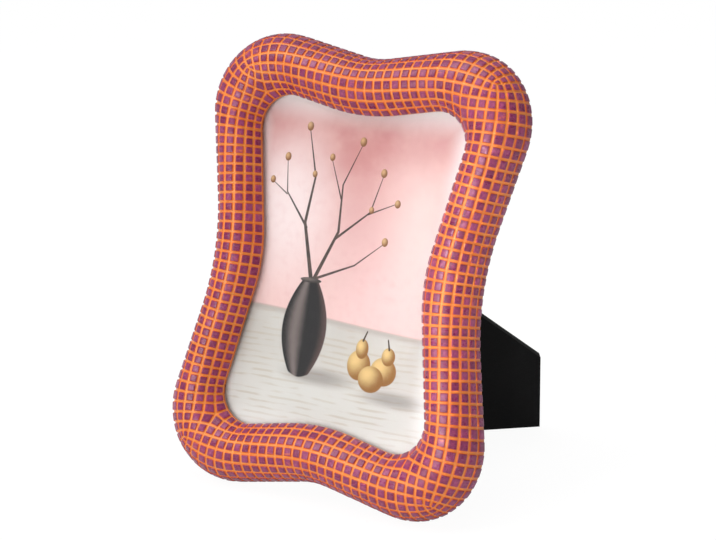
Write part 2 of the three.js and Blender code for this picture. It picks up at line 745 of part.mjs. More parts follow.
// The hinge: X along the folded leg, Y to the back, Z along the axis.
const hinge = new THREE.Group();
hinge.position.set(hingeX, hingeOut, hingeZ);
hinge.rotation.y = Math.PI / 4;
panel.add(hinge);
addPiece(hinge, 'hinge_board_leaf', boardLeafGeometry(), blackSteel());
addPiece(hinge, 'hinge_pin', hingePinGeometry(), steel());
const boardRivetBase = LEAF_T + FIT_GAP - barrelR;
rivetPlaces(RIVET_EDGE - BOARD_LEAF_L).forEach(([along, side], i) => {
  const rivet = rivetGeometry(boardRivetBase, -hingeOut - BOARD_T);
  addPiece(hinge, `board_rivet_${i + 1}`, rivet, steel()).position.set(along, 0, side);
});

// What swings with the leg, opened to where its foot stands on the table.
const swing = new THREE.Group();
swing.rotation.z = LEG_OPEN;
hinge.add(swing);
addPiece(swing, 'easel_leg', legGeometry(), cover());
addPiece(swing, 'hinge_leg_leaf', legLeafGeometry(), blackSteel());
rivetPlaces(LEG_LEAF_L - RIVET_EDGE).forEach(([along, side], i) => {
  const rivet = rivetGeometry(barrelR + FIT_GAP, legInner - FIT_GAP - RIVET_TAIL_T);
  addPiece(swing, `leg_rivet_${i + 1}`, rivet, steel()).position.set(along, 0, side);
});

// The origin goes to the middle of the base.
frame.updateMatrixWorld(true);
const box = new THREE.Box3().setFromObject(frame, true);
const middle = box.getCenter(new THREE.Vector3());
panel.position.set(-middle.x, -middle.y, -box.min.z);
frame.updateMatrixWorld(true);

export default frame;
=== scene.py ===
import json
import math

import bmesh
import bpy
import numpy as np
from bpy.props import FloatProperty, FloatVectorProperty, PointerProperty
from mathutils import Matrix, Vector


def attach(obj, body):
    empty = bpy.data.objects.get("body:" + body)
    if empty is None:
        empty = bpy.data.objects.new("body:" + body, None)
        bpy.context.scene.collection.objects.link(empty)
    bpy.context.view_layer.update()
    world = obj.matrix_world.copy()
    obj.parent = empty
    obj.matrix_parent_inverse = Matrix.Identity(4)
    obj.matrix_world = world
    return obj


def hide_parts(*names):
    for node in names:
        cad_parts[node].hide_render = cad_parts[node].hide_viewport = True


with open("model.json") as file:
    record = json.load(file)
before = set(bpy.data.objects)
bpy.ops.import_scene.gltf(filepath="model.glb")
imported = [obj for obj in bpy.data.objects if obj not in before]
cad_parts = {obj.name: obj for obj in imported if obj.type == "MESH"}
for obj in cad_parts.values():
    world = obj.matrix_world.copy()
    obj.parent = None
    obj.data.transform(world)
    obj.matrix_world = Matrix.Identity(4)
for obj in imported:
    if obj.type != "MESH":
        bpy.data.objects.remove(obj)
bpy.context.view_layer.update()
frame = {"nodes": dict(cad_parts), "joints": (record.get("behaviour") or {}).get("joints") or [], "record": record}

bl_info = {
    "name": "Wavy photo frame",
    "version": (1, 0, 0),
    "blender": (4, 5, 0),
    "location": "View3D > Sidebar > Photo Frame",
    "description": "Tiled moulding, pane, print, back and stage of a wavy tabletop photo frame",
    "category": "Object",
}

MM = 0.001

# The standing panel: its middle at the back plane, in millimetres, and how far it leans back
PANEL_MIDDLE = np.array([0.0291, -31.2174, 93.1088])
LEAN = math.radians(16.2)

# The moulding's edges and section, in millimetres, as in the part's source
OUTER_HALF = (75.45, 98.0)
INNER_HALF = (49.75, 71.1)
OUTER_EDGE = {"corner": 31.5, "dips": (10.9, 7.2), "waists": (125.0, 36.0)}
INNER_EDGE = {"corner": 13.4, "dips": (9.5, 5.35), "waists": (74.0, 80.0)}
DEPTH = 18.6
LIP_FRONT = 7.2
REBATE_DEPTH = 6.2
REBATE_HALF = (51.6, 76.6)
SECTION_END = math.pi - math.asin(LIP_FRONT / DEPTH)

# How finely the surface is tabulated: points on a quarter edge's waists, straights and corner,
# stations round the frame, points that measure the section, and points over it
EDGE_POINTS = (60, 40, 140)
STATIONS = 1128
MEASURE_POINTS = 400
SECTION_POINTS = 61

# Steps along the run, in millimetres, and over the section, as a share, that slopes are taken from
RUN_STEP = 0.25
SHARE_STEP = 0.01

# The tile net: rows over the section, columns along each rail, rows outside each corner's three-way
# point, and where these points are, as shares of the way round and of the way over the section
TILE_ROWS = 9
LIP_ROWS = 1
RAIL_COLUMNS = (32, 24, 35, 23)
ROWS_OUTSIDE = (4, 6, 5, 4)
THREE_WAY = ((0.1445, 0.333), (0.3484, 0.583), (0.6436, 0.433), (0.8484, 0.283))
RELAX_ROUNDS = 1200
RELAX_STEP = 0.45

# The grooves, in shares: where they start to get shallower before the lip, how shallow they end
# there, and how far down in them the tiles' seats lie
LIP_FADE = 0.08
LIP_GROOVE = 0.35
SEAT_SHARE = 0.85

# Height marks over a tile, for its paint: foot of its wall, top of the wall, top of its edge, crown
FOOT_RELIEF, WALL_RELIEF, EDGE_RELIEF, CROWN_RELIEF = 0.15, 0.55, 0.8, 1.0

# The rings that raise a tile: the size that gives each its height and the share it takes of that,
# how far the ring is drawn in, and its height mark
TILE_RINGS = (
    ("Wall", 1.0, 0.935, WALL_RELIEF),
    ("Edge", 0.75, 0.96, EDGE_RELIEF),
    ("Edge", 0.25, 0.95, CROWN_RELIEF),
    ("Crown", 0.7, 0.72, CROWN_RELIEF),
    ("Crown", 0.3, 0.6, CROWN_RELIEF),
)

# How uneven the tiles' walls are, as shares of their height, and the seeds of heights and tones
WALL_HEIGHTS = (0.84, 1.0)
HEIGHT_SEED, TONE_SEED = 3, 7

# Screws and rivets, in metres: heads, shanks, the edge under a head, and the screws' cross recess
SCREW_HEAD, SCREW_DOME, SCREW_SHANK, SCREW_POINT = 0.0029, 0.0009, 0.0014, 0.002
CROSS_ARM, CROSS_HALF, CROSS_DEPTH, CROSS_TAPER = 0.0019, 0.00034, 0.00072, 0.8
RIVET_HEAD, RIVET_DOME, RIVET_SHANK = 0.003, 0.001, 0.0015
HEAD_EDGE = 0.00005

# A rivet's rolled tail: radius, and height over its end, in metres
RIVET_TAIL = (
    (RIVET_SHANK, 0.0007), (0.0027, 0.0007), (0.003, 0.0005), (0.003, 0.0002), (0.0027, 0.0),
    (0.0012, 0.00005), (0.0, 0.00025),
)

# The hatch on the tiles: how close its lines are, how long, and how many patterns there are
HATCH_CLOSE, HATCH_LONG, HATCH_KINDS = 4.5, 0.6, 60.0

# The printed picture, in millimetres from the print's middle: branches and stalks by their points and
# thickness there, buds by place and size, pears and cast shadows as ellipses
BRANCHES = (
    ((-16, -6, 1.0), (-23, 18, 0.7), (-21, 38, 0.45), (-27, 58, 0.2)),
    ((-22, 16, 0.55), (-34, 30, 0.3), (-36, 44, 0.15)),
    ((-15, -6, 0.9), (-6, 16, 0.6), (-7, 36, 0.35), (0, 54, 0.15)),
    ((-7, 13, 0.55), (8, 26, 0.35), (12, 42, 0.15)),
    ((7, 25, 0.35), (20, 31, 0.15)),
    ((-14, -5, 0.6), (4, 3, 0.35), (17, 14, 0.15)),
    ((-7, 30, 0.35), (-14, 46, 0.15)),
    ((-34, 29, 0.3), (-42, 34, 0.15)),
)
BUDS = (
    (-27, 59, 1.6), (-36, 45, 1.5), (0, 55, 1.6), (12, 43, 1.5), (20.5, 31, 1.4),
    (17, 14.5, 1.5), (-14, 47, 1.3), (-42, 34.5, 1.3), (-21.5, 39, 1.2), (8.5, 27, 1.2),
)
PEARS = (
    (13.0, -38.0, 5.6, 6.4), (13.6, -31.0, 3.0, 4.2), (25.0, -39.0, 6.2, 6.0),
    (26.5, -32.5, 3.2, 3.8), (19.5, -43.0, 6.0, 5.6),
)
STALKS = (((13.6, -27.5, 0.45), (15.0, -23.5, 0.3)), ((26.5, -29.5, 0.45), (25.4, -25.5, 0.3)))
CAST_SHADOWS = ((-6.0, -46.0, 22.0, 5.0), (32.0, -50.0, 20.0, 4.5))
VASE_X, VASE_FOOT, VASE_HEIGHT, VASE_GIRTH = -16.0, -46.0, 40.0, 11.0

# Its inks. Where there are two, the first is the deeper one
PLASTER = ((0.60, 0.26, 0.255), (0.87, 0.60, 0.59))
PLASTER_TROWEL, PLASTER_SPECK, PLASTER_SHADE = (0.88, 0.60, 0.58), (0.66, 0.30, 0.31), (0.42, 0.18, 0.20)
LEFT_GLOW, RIGHT_GLOW = (0.95, 0.82, 0.83), (0.95, 0.76, 0.73)
LINEN = ((0.60, 0.565, 0.535), (0.72, 0.70, 0.68))
LINEN_WEAVE, LINEN_LIT = (0.52, 0.44, 0.35), (0.80, 0.79, 0.775)
HEM_SHADE, CAST_SHADE = (0.40, 0.33, 0.30), (0.22, 0.18, 0.17)
BARK = ((0.02, 0.014, 0.012), (0.07, 0.045, 0.035))
BUD = ((0.24, 0.10, 0.04), (0.66, 0.40, 0.20))
VASE = ((0.016, 0.014, 0.016), (0.20, 0.16, 0.155))
VASE_EDGE, VASE_MOUTH = (0.24, 0.13, 0.12), ((0.05, 0.04, 0.04), (0.16, 0.13, 0.12))
PEAR = ((0.30, 0.13, 0.03), (0.78, 0.55, 0.24))
# The last ink is painted white glare for the print's edges
STALK, EDGE_GLARE = (0.06, 0.035, 0.02), (0.97, 0.97, 0.98)

# The stage, in metres: floor, lights, and the camera's offset to the right and up
FLOOR_HALF, FLOOR_DROP = 6.0, 0.0003
WHITE = (1.0, 1.0, 1.0, 1.0)
KEY_WAY, KEY_SPREAD = (0.42, 0.50, -0.76), 32.0
FRAME_AIM, RAIL_AIM = (0.0, -0.03, 0.09), (0.1, -0.03, 0.1)
CAMERA_OFFSET, SENSOR_WIDTH, CLIP_NEAR, CLIP_FAR = (0.00346, 0.00076), 36.0, 0.01, 50.0

# The area lights by the name of their strength: size, place and aim, in metres, and spread in degrees
AREA_LIGHTS = (
    ("front", (0.64, 0.36), (-0.07, -1.03, 0.24), FRAME_AIM, 180.0),
    ("gloss", (0.1, 0.12), (-0.10791, -1.00815, 0.33), RAIL_AIM, 10.0),
    ("gloss", (0.1, 0.12), (0.40902, -0.98106, 0.33), RAIL_AIM, 10.0),
    ("top", (0.8, 0.8), (-0.1, -0.15, 1.25), FRAME_AIM, 180.0),
    ("fill", (0.6, 0.6), (0.75, -0.9, 0.35), FRAME_AIM, 180.0),
)


def metres(points):
    """Panel millimetres (across, up, towards the back) as places in the scene, in metres."""
    c, s = math.cos(LEAN), math.sin(LEAN)
    x, v, w = points[..., 0], points[..., 1], points[..., 2]
    return (np.stack([x, w * c + v * s, v * c - w * s], -1) + PANEL_MIDDLE) * MM


def maths(operation, swapped=False):
    """A method that adds a Math node for its socket and the other values."""

    def method(socket, *others):
        values = (*others, socket) if swapped else (socket, *others)
        return socket.nodes.node("ShaderNodeMath", {"operation": operation}, dict(enumerate(values)))

    return method


class Socket:
    """A node's output, so that maths on it reads as an expression."""

    def __init__(self, nodes, socket):
        self.nodes, self.socket = nodes, socket

    __add__, __radd__ = maths("ADD"), maths("ADD", True)
    __sub__, __rsub__ = maths("SUBTRACT"), maths("SUBTRACT", True)
    __mul__, __rmul__ = maths("MULTIPLY"), maths("MULTIPLY", True)
    __truediv__, __rtruediv__ = maths("DIVIDE"), maths("DIVIDE", True)
    __pow__, __abs__ = maths("POWER"), maths("ABSOLUTE")
    sin, sqrt = maths("SINE"), maths("SQRT")
    least, most = maths("MINIMUM"), maths("MAXIMUM")


class Nodes:
    """A node tree that is written as expressions."""

    def __init__(self, tree):
        self.tree = tree
        tree.nodes.clear()

    def node(self, kind, settings=None, inputs=None, out=0):
        """Adds a node: its settings first, then the values or links of its sockets."""
        made = self.tree.nodes.new(kind)
        for name, value in (settings or {}).items():
            setattr(made, name, value)
        for name, value in (inputs or {}).items():
            if isinstance(value, Socket):
                self.tree.links.new(value.socket, made.inputs[name])
            else:
                made.inputs[name].default_value = value
        if isinstance(out, tuple):
            return tuple(Socket(self, made.outputs[name]) for name in out)
        return Socket(self, made.outputs[out]) if len(made.outputs) else made

    def split(self, vector):
        return self.node("ShaderNodeSeparateXYZ", {}, {0: vector}, (0, 1, 2))

    def joined(self, x, y, z):
        return self.node("ShaderNodeCombineXYZ", {}, {0: x, 1: y, 2: z})


class Finish(Nodes):
    """A material, with the few patterns that the finishes here share."""

    def __init__(self, name):
        self.material = bpy.data.materials.new(name)
        self.material.use_nodes = True
        super().__init__(self.material.node_tree)
        self.place = self.node("ShaderNodeTexCoord", out="Object")

    def moved(self, scale=(1, 1, 1), turn=(0, 0, 0), offset=(0, 0, 0), kind="POINT", at=None):
        """The place on the piece, or another one, scaled, turned and shifted."""
        inputs = {"Vector": at or self.place, "Location": offset, "Rotation": turn, "Scale": scale}
        return self.node("ShaderNodeMapping", {"vector_type": kind}, inputs)

    def noise(self, scale, detail=3.0, rough=0.5, at=None):
        inputs = {"Vector": at or self.place, "Scale": scale, "Detail": detail, "Roughness": rough}
        return self.node("ShaderNodeTexNoise", {}, inputs)

    def fade(self, value, start, end):
        """Goes smoothly from 0 at start to 1 at end."""
        inputs = {0: value, 1: start, 2: end, 3: 0.0, 4: 1.0}
        return self.node("ShaderNodeMapRange", {"interpolation_type": "SMOOTHSTEP"}, inputs)

    def mix(self, share, first, second):
        """Two colours, or colour sockets, mixed."""
        full = lambda c: c if isinstance(c, Socket) else (*c, 1.0)
        inputs = {0: share, 6: full(first), 7: full(second)}
        return self.node("ShaderNodeMix", {"data_type": "RGBA"}, inputs, 2)

    def attribute(self, name, out="Fac"):
        return self.node("ShaderNodeAttribute", {"attribute_name": name}, out=out)

    def bump(self, height, distance, strength):
        inputs = {"Height": height, "Distance": distance, "Strength": strength}
        return self.node("ShaderNodeBump", {}, inputs)

    def surface(self, **inputs):
        """Ends the material in one Principled shader, with its inputs by name."""
        named = {name.replace("_", " ").title().replace("Ior", "IOR"): value for name, value in inputs.items()}
        return self.end(self.node("ShaderNodeBsdfPrincipled", {}, named))

    def end(self, shader):
        self.node("ShaderNodeOutputMaterial", {}, {"Surface": shader})
        return self.material


def edge_quarter(half, corner, dips, waists):
    """A quarter of a wavy edge: waist arc, straight, corner arc, straight, waist arc, all tangent."""
    middle = np.array([half[0] - corner, half[1] - corner])
    waist_points, line_points, corner_points = EDGE_POINTS

    def waist_radius(dip, across, wanted):
        return min(wanted, ((corner - dip) ** 2 + across**2 - corner**2) / (2 * dip))

    side = waist_radius(dips[0], middle[1], waists[0])
    end = waist_radius(dips[1], middle[0], waists[1])
    side_middle = np.array([half[0] - dips[0] + side, 0.0])
    end_middle = np.array([0.0, half[1] - dips[1] + end])

    def line_angle(waist, radius, hand):
        d = waist - middle
        return math.atan2(d[1], d[0]) + hand * math.acos(min(1.0, (corner + radius) / np.hypot(*d)))

    def arc(centre, radius, angle):
        return np.stack([centre[0] + radius * np.cos(angle), centre[1] + radius * np.sin(angle)], -1)

    def line(p, q):
        return p + (q - p) * np.linspace(0, 1, line_points, endpoint=False)[:, None]

    a, b = line_angle(side_middle, side, 1), line_angle(end_middle, end, -1)
    return np.concatenate([
        arc(side_middle, -side, np.linspace(0, a, waist_points, endpoint=False)),
        line(arc(side_middle, -side, a), arc(middle, corner, a)),
        arc(middle, corner, np.linspace(a, b, corner_points, endpoint=False)),
        line(arc(middle, corner, b), arc(end_middle, -end, b)),
        arc(end_middle, -end, np.linspace(b, math.pi / 2, waist_points + 1)),
    ])


def edge_loop(half, corner, dips, waists):
    """The whole wavy edge, from the middle of the right side, upwards and round."""
    q = edge_quarter(half, corner, dips, waists)
    top = np.concatenate([q, (q * [-1, 1])[::-1][1:]])
    return np.concatenate([top[:-1], (top * [-1, -1])[:-1]])


def section_share(turn):
    """How far a turn of the section lies from the outer edge to the inner one."""
    return (1 - np.cos(turn)) / (1 - math.cos(SECTION_END))


def travelled(points):
    """The way along a row of points, from 0."""
    return np.concatenate([[0], np.cumsum(np.linalg.norm(np.diff(points, axis=0), axis=1))])


class MouldingSurface:
    """The half-round surface between the wavy edges, by run along it and share of its section."""

    def __init__(self):
        outer, inner = edge_loop(OUTER_HALF, **OUTER_EDGE), edge_loop(INNER_HALF, **INNER_EDGE)
        crest = outer + (inner - outer) * section_share(np.array(math.pi / 2))
        run = travelled(np.concatenate([crest, crest[:1]]))
        self.length = run[-1]
        at = np.linspace(0, self.length, STATIONS, endpoint=False)
        even = lambda a: np.stack([np.interp(at, run, np.append(a[:, i], a[0, i])) for i in range(2)], -1)
        fine = np.linspace(0, SECTION_END, MEASURE_POINTS)
        self.table = np.zeros((STATIONS, SECTION_POINTS, 3))
        for i, (o, n) in enumerate(zip(even(outer), even(inner))):
            curve = np.stack([section_share(fine) * np.linalg.norm(n - o), DEPTH * np.sin(fine)], -1)
            reach = travelled(curve)
            turn = np.interp(np.linspace(0, reach[-1], SECTION_POINTS), reach, fine)
            self.table[i, :, :2] = o + (n - o) * section_share(turn)[:, None]
            self.table[i, :, 2] = -DEPTH * np.sin(turn)

    def at(self, run, share):
        """Panel places at these runs, in millimetres, and section shares."""
        t = np.asarray(run, float) / self.length * STATIONS
        s = np.clip(share, 0, 1) * (SECTION_POINTS - 1)
        i, j = np.floor(t).astype(int), np.minimum(np.floor(s).astype(int), SECTION_POINTS - 2)
        f, g = (t - i)[:, None], (s - j)[:, None]
        a, b = i % STATIONS, (i + 1) % STATIONS
        low = self.table[a, j] * (1 - f) + self.table[b, j] * f
        high = self.table[a, j + 1] * (1 - f) + self.table[b, j + 1] * f
        return low * (1 - g) + high * g

    def slopes(self, run, share):
        """How the place changes with the run and with the share."""
        low, high = np.clip(share - SHARE_STEP, 0, 1), np.clip(share + SHARE_STEP, 0, 1)
        along = (self.at(run + RUN_STEP, share) - self.at(run - RUN_STEP, share)) / (2 * RUN_STEP)
        across = (self.at(run, high) - self.at(run, low)) / (high - low)[:, None]
        return along, across

    def lowered(self, run, share, drop):
        """Places that lie the drop below the surface."""
        along, across = self.slopes(run, share)
        n = np.cross(across, along)
        n /= np.linalg.norm(n, axis=1)[:, None]
        return self.at(run, share) - n * np.asarray(drop).reshape(-1, 1)


def tile_net(length):
    """The tile net's points (run, share), its four-sided cells, and each corner's three-way point."""
    points, cells, three_way = [], [], []
    inner_row = TILE_ROWS - LIP_ROWS
    square = [inner_row - k for k in ROWS_OUTSIDE]
    corners = [round_share * length for round_share, _ in THREE_WAY]
    pitch = length / (sum(RAIL_COLUMNS) + 2 * sum(square))

    def new(run, share):
        points.append((run, share))
        return len(points) - 1

    def fill(block):
        for a in range(block.shape[0] - 1):
            for b in range(block.shape[1] - 1):
                cells.append((block[a, b], block[a + 1, b], block[a + 1, b + 1], block[a, b + 1]))

    rails = []
    for r, columns in enumerate(RAIL_COLUMNS):
        before = (r - 1) % 4
        start, stop = corners[before] - (length if r == 0 else 0), corners[r]
        block = np.zeros((columns + 1, TILE_ROWS + 1), int)
        for i in range(columns + 1):
            for j in range(TILE_ROWS + 1):
                pull = [pitch * min(square[c], max(0, inner_row - j)) for c in (before, r)]
                first, last = start + pull[0], stop - pull[1]
                block[i, j] = new(first + (last - first) * i / columns, j / TILE_ROWS)
        rails.append(block)
    for c in range(4):
        last, first = rails[c][-1], rails[(c + 1) % 4][0]
        outside, m, run = ROWS_OUTSIDE[c], square[c], corners[c]
        first[inner_row:] = last[inner_row:]
        patch = -np.ones((m + 1, m + 1), int)
        patch[0], patch[:, m] = last[outside:inner_row + 1], first[outside:inner_row + 1][::-1]
        low, high = outside / TILE_ROWS, inner_row / TILE_ROWS
        for u in range(1, m + 1):
            for v in range(m):
                a, b = u / m, v / m
                patch[u, v] = new(run + (a + b - 1) * m * pitch, low + (high - low) * b * (1 - a))
        sides = [-np.ones((m + 1, outside + 1), int) for _ in range(2)]
        sides[0][0], sides[0][:, outside] = last[:outside + 1], patch[:, 0]
        sides[1][:, outside], sides[1][m] = patch[m], first[:outside + 1]
        for k in range(1, 2 * m):
            block, u = (sides[0], k) if k <= m else (sides[1], k - m)
            for j in range(outside):
                block[u, j] = new(run + (k - m) * pitch, j / outside * points[block[u, outside]][1])
        sides[1][0] = sides[0][m]
        for block in (patch, *sides):
            fill(block)
        three_way.append(patch[m, 0])
    for block in rails:
        fill(block)
    used, cells = np.unique(np.array(cells), return_inverse=True)
    return np.array(points)[used], cells.reshape(-1, 4), np.searchsorted(used, three_way)


def relax(surface, points, cells, pinned):
    """Evens the net out on the surface. Points on the edges slide along them, and pinned ones stay."""
    run, share = points.T.copy()
    edges = np.concatenate([cells[:, [i, (i + 1) % 4]] for i in range(4)])
    edges = np.unique(np.sort(edges, 1), axis=0)
    count = np.bincount(edges.ravel(), minlength=len(run))[:, None]
    rim = (share < 1e-6) | (share > 1 - 1e-6)
    for point, (t, s) in zip(pinned, THREE_WAY):
        run[point], share[point] = t * surface.length, s
    for _ in range(RELAX_ROUNDS):
        p = surface.at(run, share)
        around = np.zeros_like(p)
        np.add.at(around, edges[:, 0], p[edges[:, 1]])
        np.add.at(around, edges[:, 1], p[edges[:, 0]])
        d = around / count - p
        along, across = surface.slopes(run, share)
        aa, ab, bb = (along**2).sum(1), (along * across).sum(1), (across**2).sum(1)
        da, db = (along * d).sum(1), (across * d).sum(1)
        det = aa * bb - ab**2
        move = np.where(rim, da / aa, (bb * da - ab * db) / det)
        lift = np.where(rim, 0.0, (aa * db - ab * da) / det)
        move[pinned] = lift[pinned] = 0.0
        run = run + RELAX_STEP * move
        share = np.where(rim, share, np.clip(share + RELAX_STEP * lift, 0.001, 0.999))
    return run, share


def close_back(mesh):
    """Closes the tiled front with the lip's wall, the rebate and the flat back, in panel millimetres."""
    rims = [e for e in mesh.edges if e.is_boundary]
    outer = [e for e in rims if e.verts[0].co.z > -LIP_FRONT / 2]
    lip = [e for e in rims if e.verts[0].co.z < -LIP_FRONT / 2]
    wall = bmesh.ops.extrude_edge_only(mesh, edges=lip)["geom"]
    lip_foot = [g for g in wall if isinstance(g, bmesh.types.BMEdge) and g.is_boundary]
    for edges, level in ((lip_foot, -REBATE_DEPTH), (outer, 0.0)):
        for vert in {v for e in edges for v in e.verts}:
            vert.co.z = level
    boxes = []
    for rim, level in ((outer, 0.0), (lip_foot, -REBATE_DEPTH)):
        places = [(x * REBATE_HALF[0], y * REBATE_HALF[1], level) for x, y in ((1, 1), (-1, 1), (-1, -1), (1, -1))]
        box = [mesh.verts.new(place) for place in places]
        boxes.append((rim, box, [mesh.edges.new((box[k], box[(k + 1) % 4])) for k in range(4)]))
    a, b = boxes[0][1], boxes[1][1]
    for k in range(4):
        mesh.faces.new((a[k], a[(k + 1) % 4], b[(k + 1) % 4], b[k]))
    for rim, _, edges in boxes:
        bmesh.ops.triangle_fill(mesh, use_beauty=True, edges=rim + edges)


def moulding_ground(surface, groove, drop, corner_cut):
    """The moulding before its tiles rise: grooves, the tiles' eight-sided seats, and the closed back."""
    points, cells, three_way = tile_net(surface.length)
    run, share = relax(surface, points, cells, three_way)
    depth = drop * np.clip((1 - share) / LIP_FADE, LIP_GROOVE, 1.0)
    corners = surface.lowered(run, share, depth)
    mesh = bmesh.new()
    tile = mesh.faces.layers.int.new("tile")
    plain = mesh.faces.layers.float.new("plain")
    relief = mesh.verts.layers.float.new("relief")
    spot = mesh.verts.layers.float_vector.new("spot")
    verts = [mesh.verts.new(p) for p in corners]
    for cell in cells:
        t = run[cell]
        t = t + surface.length * np.round((t[0] - t) / surface.length)
        p = corners[cell]
        wide = (np.linalg.norm(p[1] - p[0]) + np.linalg.norm(p[2] - p[3])) / 2
        tall = (np.linalg.norm(p[3] - p[0]) + np.linalg.norm(p[2] - p[1])) / 2
        iu, iv, cu, cv = groove / 2 / wide, groove / 2 / tall, corner_cut / wide, corner_cut / tall
        u = np.array([iu + cu, 1 - iu - cu, 1 - iu, 1 - iu, 1 - iu - cu, iu + cu, iu, iu])
        v = np.array([iv, iv, iv + cv, 1 - iv - cv, 1 - iv, 1 - iv, 1 - iv - cv, iv + cv])
        weight = np.stack([(1 - u) * (1 - v), u * (1 - v), u * v, (1 - u) * v], -1)
        seat = surface.lowered(weight @ t, weight @ share[cell], weight @ depth[cell] * SEAT_SHARE)
        o = [mesh.verts.new(q) for q in seat]
        for vert, across, along in zip(o, u, v):
            vert[relief], vert[spot] = FOOT_RELIEF, (across, along, 0.0)
        c = [verts[k] for k in cell]
        mesh.faces.new(o)[tile] = 1
        for k in range(4):
            mesh.faces.new((c[k], c[(k + 1) % 4], o[2 * k + 1], o[2 * k]))
            mesh.faces.new((c[k], o[2 * k], o[(2 * k - 1) % 8]))
    tiled = set(mesh.faces)
    close_back(mesh)
    for face in mesh.faces:
        face[plain] = 0.0 if face in tiled else 1.0
    for vert, place in zip(mesh.verts, metres(np.array([v.co for v in mesh.verts]))):
        vert.co = place
    bmesh.ops.recalc_face_normals(mesh, faces=mesh.faces)
    if any(not e.is_manifold for e in mesh.edges):
        raise RuntimeError("the moulding's mesh isn't closed")
    return mesh


def growing(name, sizes):
    """A Geometry Nodes tree: its nodes, the sockets of its inputs, and these inputs' identifiers."""
    group = bpy.data.node_groups.new(name, "GeometryNodeTree")
    face = group.interface
    face.new_socket("Geometry", in_out="INPUT", socket_type="NodeSocketGeometry")
    names = {}
    for key, kind in sizes.items():
        names[key] = face.new_socket(key, in_out="INPUT", socket_type="NodeSocket" + kind).identifier
    face.new_socket("Geometry", in_out="OUTPUT", socket_type="NodeSocketGeometry")
    tree = Nodes(group)
    return tree, tree.node("NodeGroupInput", out=("Geometry", *sizes)), names


def chance(tree, seed, low=0.0, high=1.0):
    """A random number for each element, from a fixed seed."""
    return tree.node("FunctionNodeRandomValue", {"data_type": "FLOAT"}, {2: low, 3: high, "Seed": seed}, 1)


def grown(piece, tree, shape, material, inputs):
    """Ends a Geometry Nodes tree, runs it on the piece and leaves its result as a plain mesh."""
    shape = tree.node("GeometryNodeRealizeInstances", {}, {"Geometry": shape})
    shape = tree.node("GeometryNodeSetMaterial", {}, {"Geometry": shape, "Material": material})
    tree.node("NodeGroupOutput", {}, {0: shape})
    modifier = piece.modifiers.new(tree.tree.name, "NODES")
    modifier.node_group = tree.tree
    for identifier, value in inputs.items():
        modifier[identifier] = value
    return settled(piece)


def raise_tiles(piece, material, heights):
    """Raises each tile from its seat: drafted wall, rounded edge, low crown."""
    tree, (shape, *parts), names = growing("raised_tiles", dict.fromkeys(heights, "Float"))
    parts = dict(zip(heights, parts))

    def named(name, kind):
        return tree.node("GeometryNodeInputNamedAttribute", {"data_type": kind}, {"Name": name}, "Attribute")

    def store(shape, name, value, domain="POINT", **selection):
        inputs = {"Geometry": shape, "Name": name, "Value": value, **selection}
        return tree.node("GeometryNodeStoreNamedAttribute", {"data_type": "FLOAT", "domain": domain}, inputs)

    chosen, plain = named("tile", "INT"), named("plain", "FLOAT")
    shape = store(shape, "tone", chance(tree, TONE_SEED), "FACE")
    for part, share, scale, relief in TILE_RINGS:
        height = parts[part] * share
        if part == "Wall":
            height = height * chance(tree, HEIGHT_SEED, *WALL_HEIGHTS)
        inputs = {"Mesh": shape, "Selection": chosen, "Offset Scale": height, "Individual": True}
        shape, chosen = tree.node("GeometryNodeExtrudeMesh", {"mode": "FACES"}, inputs, ("Mesh", "Top"))
        inputs = {"Geometry": shape, "Selection": chosen, "Scale": scale}
        shape = tree.node("GeometryNodeScaleElements", {"domain": "FACE"}, inputs)
        shape = store(shape, "relief", relief, Selection=chosen)
    x, y, z = tree.split(tree.node("GeometryNodeInputPosition"))
    grounded = tree.joined(x, y, z.most(0.0))
    shape = tree.node("GeometryNodeSetPosition", {}, {"Geometry": shape, "Position": grounded})
    inputs = {"Geometry": shape, "Selection": 1.0 - plain, "Shade Smooth": True}
    shape = tree.node("GeometryNodeSetShadeSmooth", {}, inputs)
    return grown(piece, tree, shape, material, {names[part]: height for part, height in heights.items()})


def settled(piece):
    """Leaves what the piece's modifiers make as its plain mesh."""
    graph = bpy.context.evaluated_depsgraph_get()
    made = piece.evaluated_get(graph)
    mesh = bpy.data.meshes.new_from_object(made, preserve_all_data_layers=True, depsgraph=graph)
    piece.modifiers.clear()
    piece.data = mesh
    return piece


def new_piece(name, mesh):
    data = bpy.data.meshes.new(name)
    mesh.to_mesh(data)
    mesh.free()
    piece = bpy.data.objects.new(name, data)
    bpy.context.scene.collection.objects.link(piece)
    return piece


def dress(material, name):
    """Gives a CAD node a finish."""
    node = frame["nodes"][name]
    node.data.materials.clear()
    node.data.materials.append(material)


def stands_for(piece, *nodes):
    """Puts a piece in the place of CAD nodes, on their body, and hides these nodes."""
    record = frame["record"]
    body = next(b for b, members in record["behaviour"]["bodies"].items() if nodes[0] in members)
    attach(piece, body)
    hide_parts(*nodes)


def eased(node, material, width):
    """A copy of a CAD node with rounded edges, which carry the mark "worn"."""
    mesh = bmesh.new()
    mesh.from_mesh(frame["nodes"][node].data)
    bmesh.ops.remove_doubles(mesh, verts=mesh.verts, dist=1e-6)
    bmesh.ops.dissolve_limit(mesh, angle_limit=math.radians(1.0), verts=mesh.verts, edges=mesh.edges)
    for face in mesh.faces:
        face.smooth = True
    piece = new_piece("finished_" + node, mesh)
    for _ in range(2):
        piece.data.materials.append(material)
    ease = piece.modifiers.new("ease", "BEVEL")
    ease.width, ease.segments, ease.material = width, 3, 1
    ease.limit_method, ease.angle_limit, ease.harden_normals = "ANGLE", math.radians(35.0), True
    data = settled(piece).data
    worn = data.attributes.new("worn", "FLOAT", "FACE")
    worn.data.foreach_set("value", [float(face.material_index) for face in data.polygons])
    data.polygons.foreach_set("material_index", [0] * len(data.polygons))
    data.materials.pop(index=1)
    stands_for(piece, node)


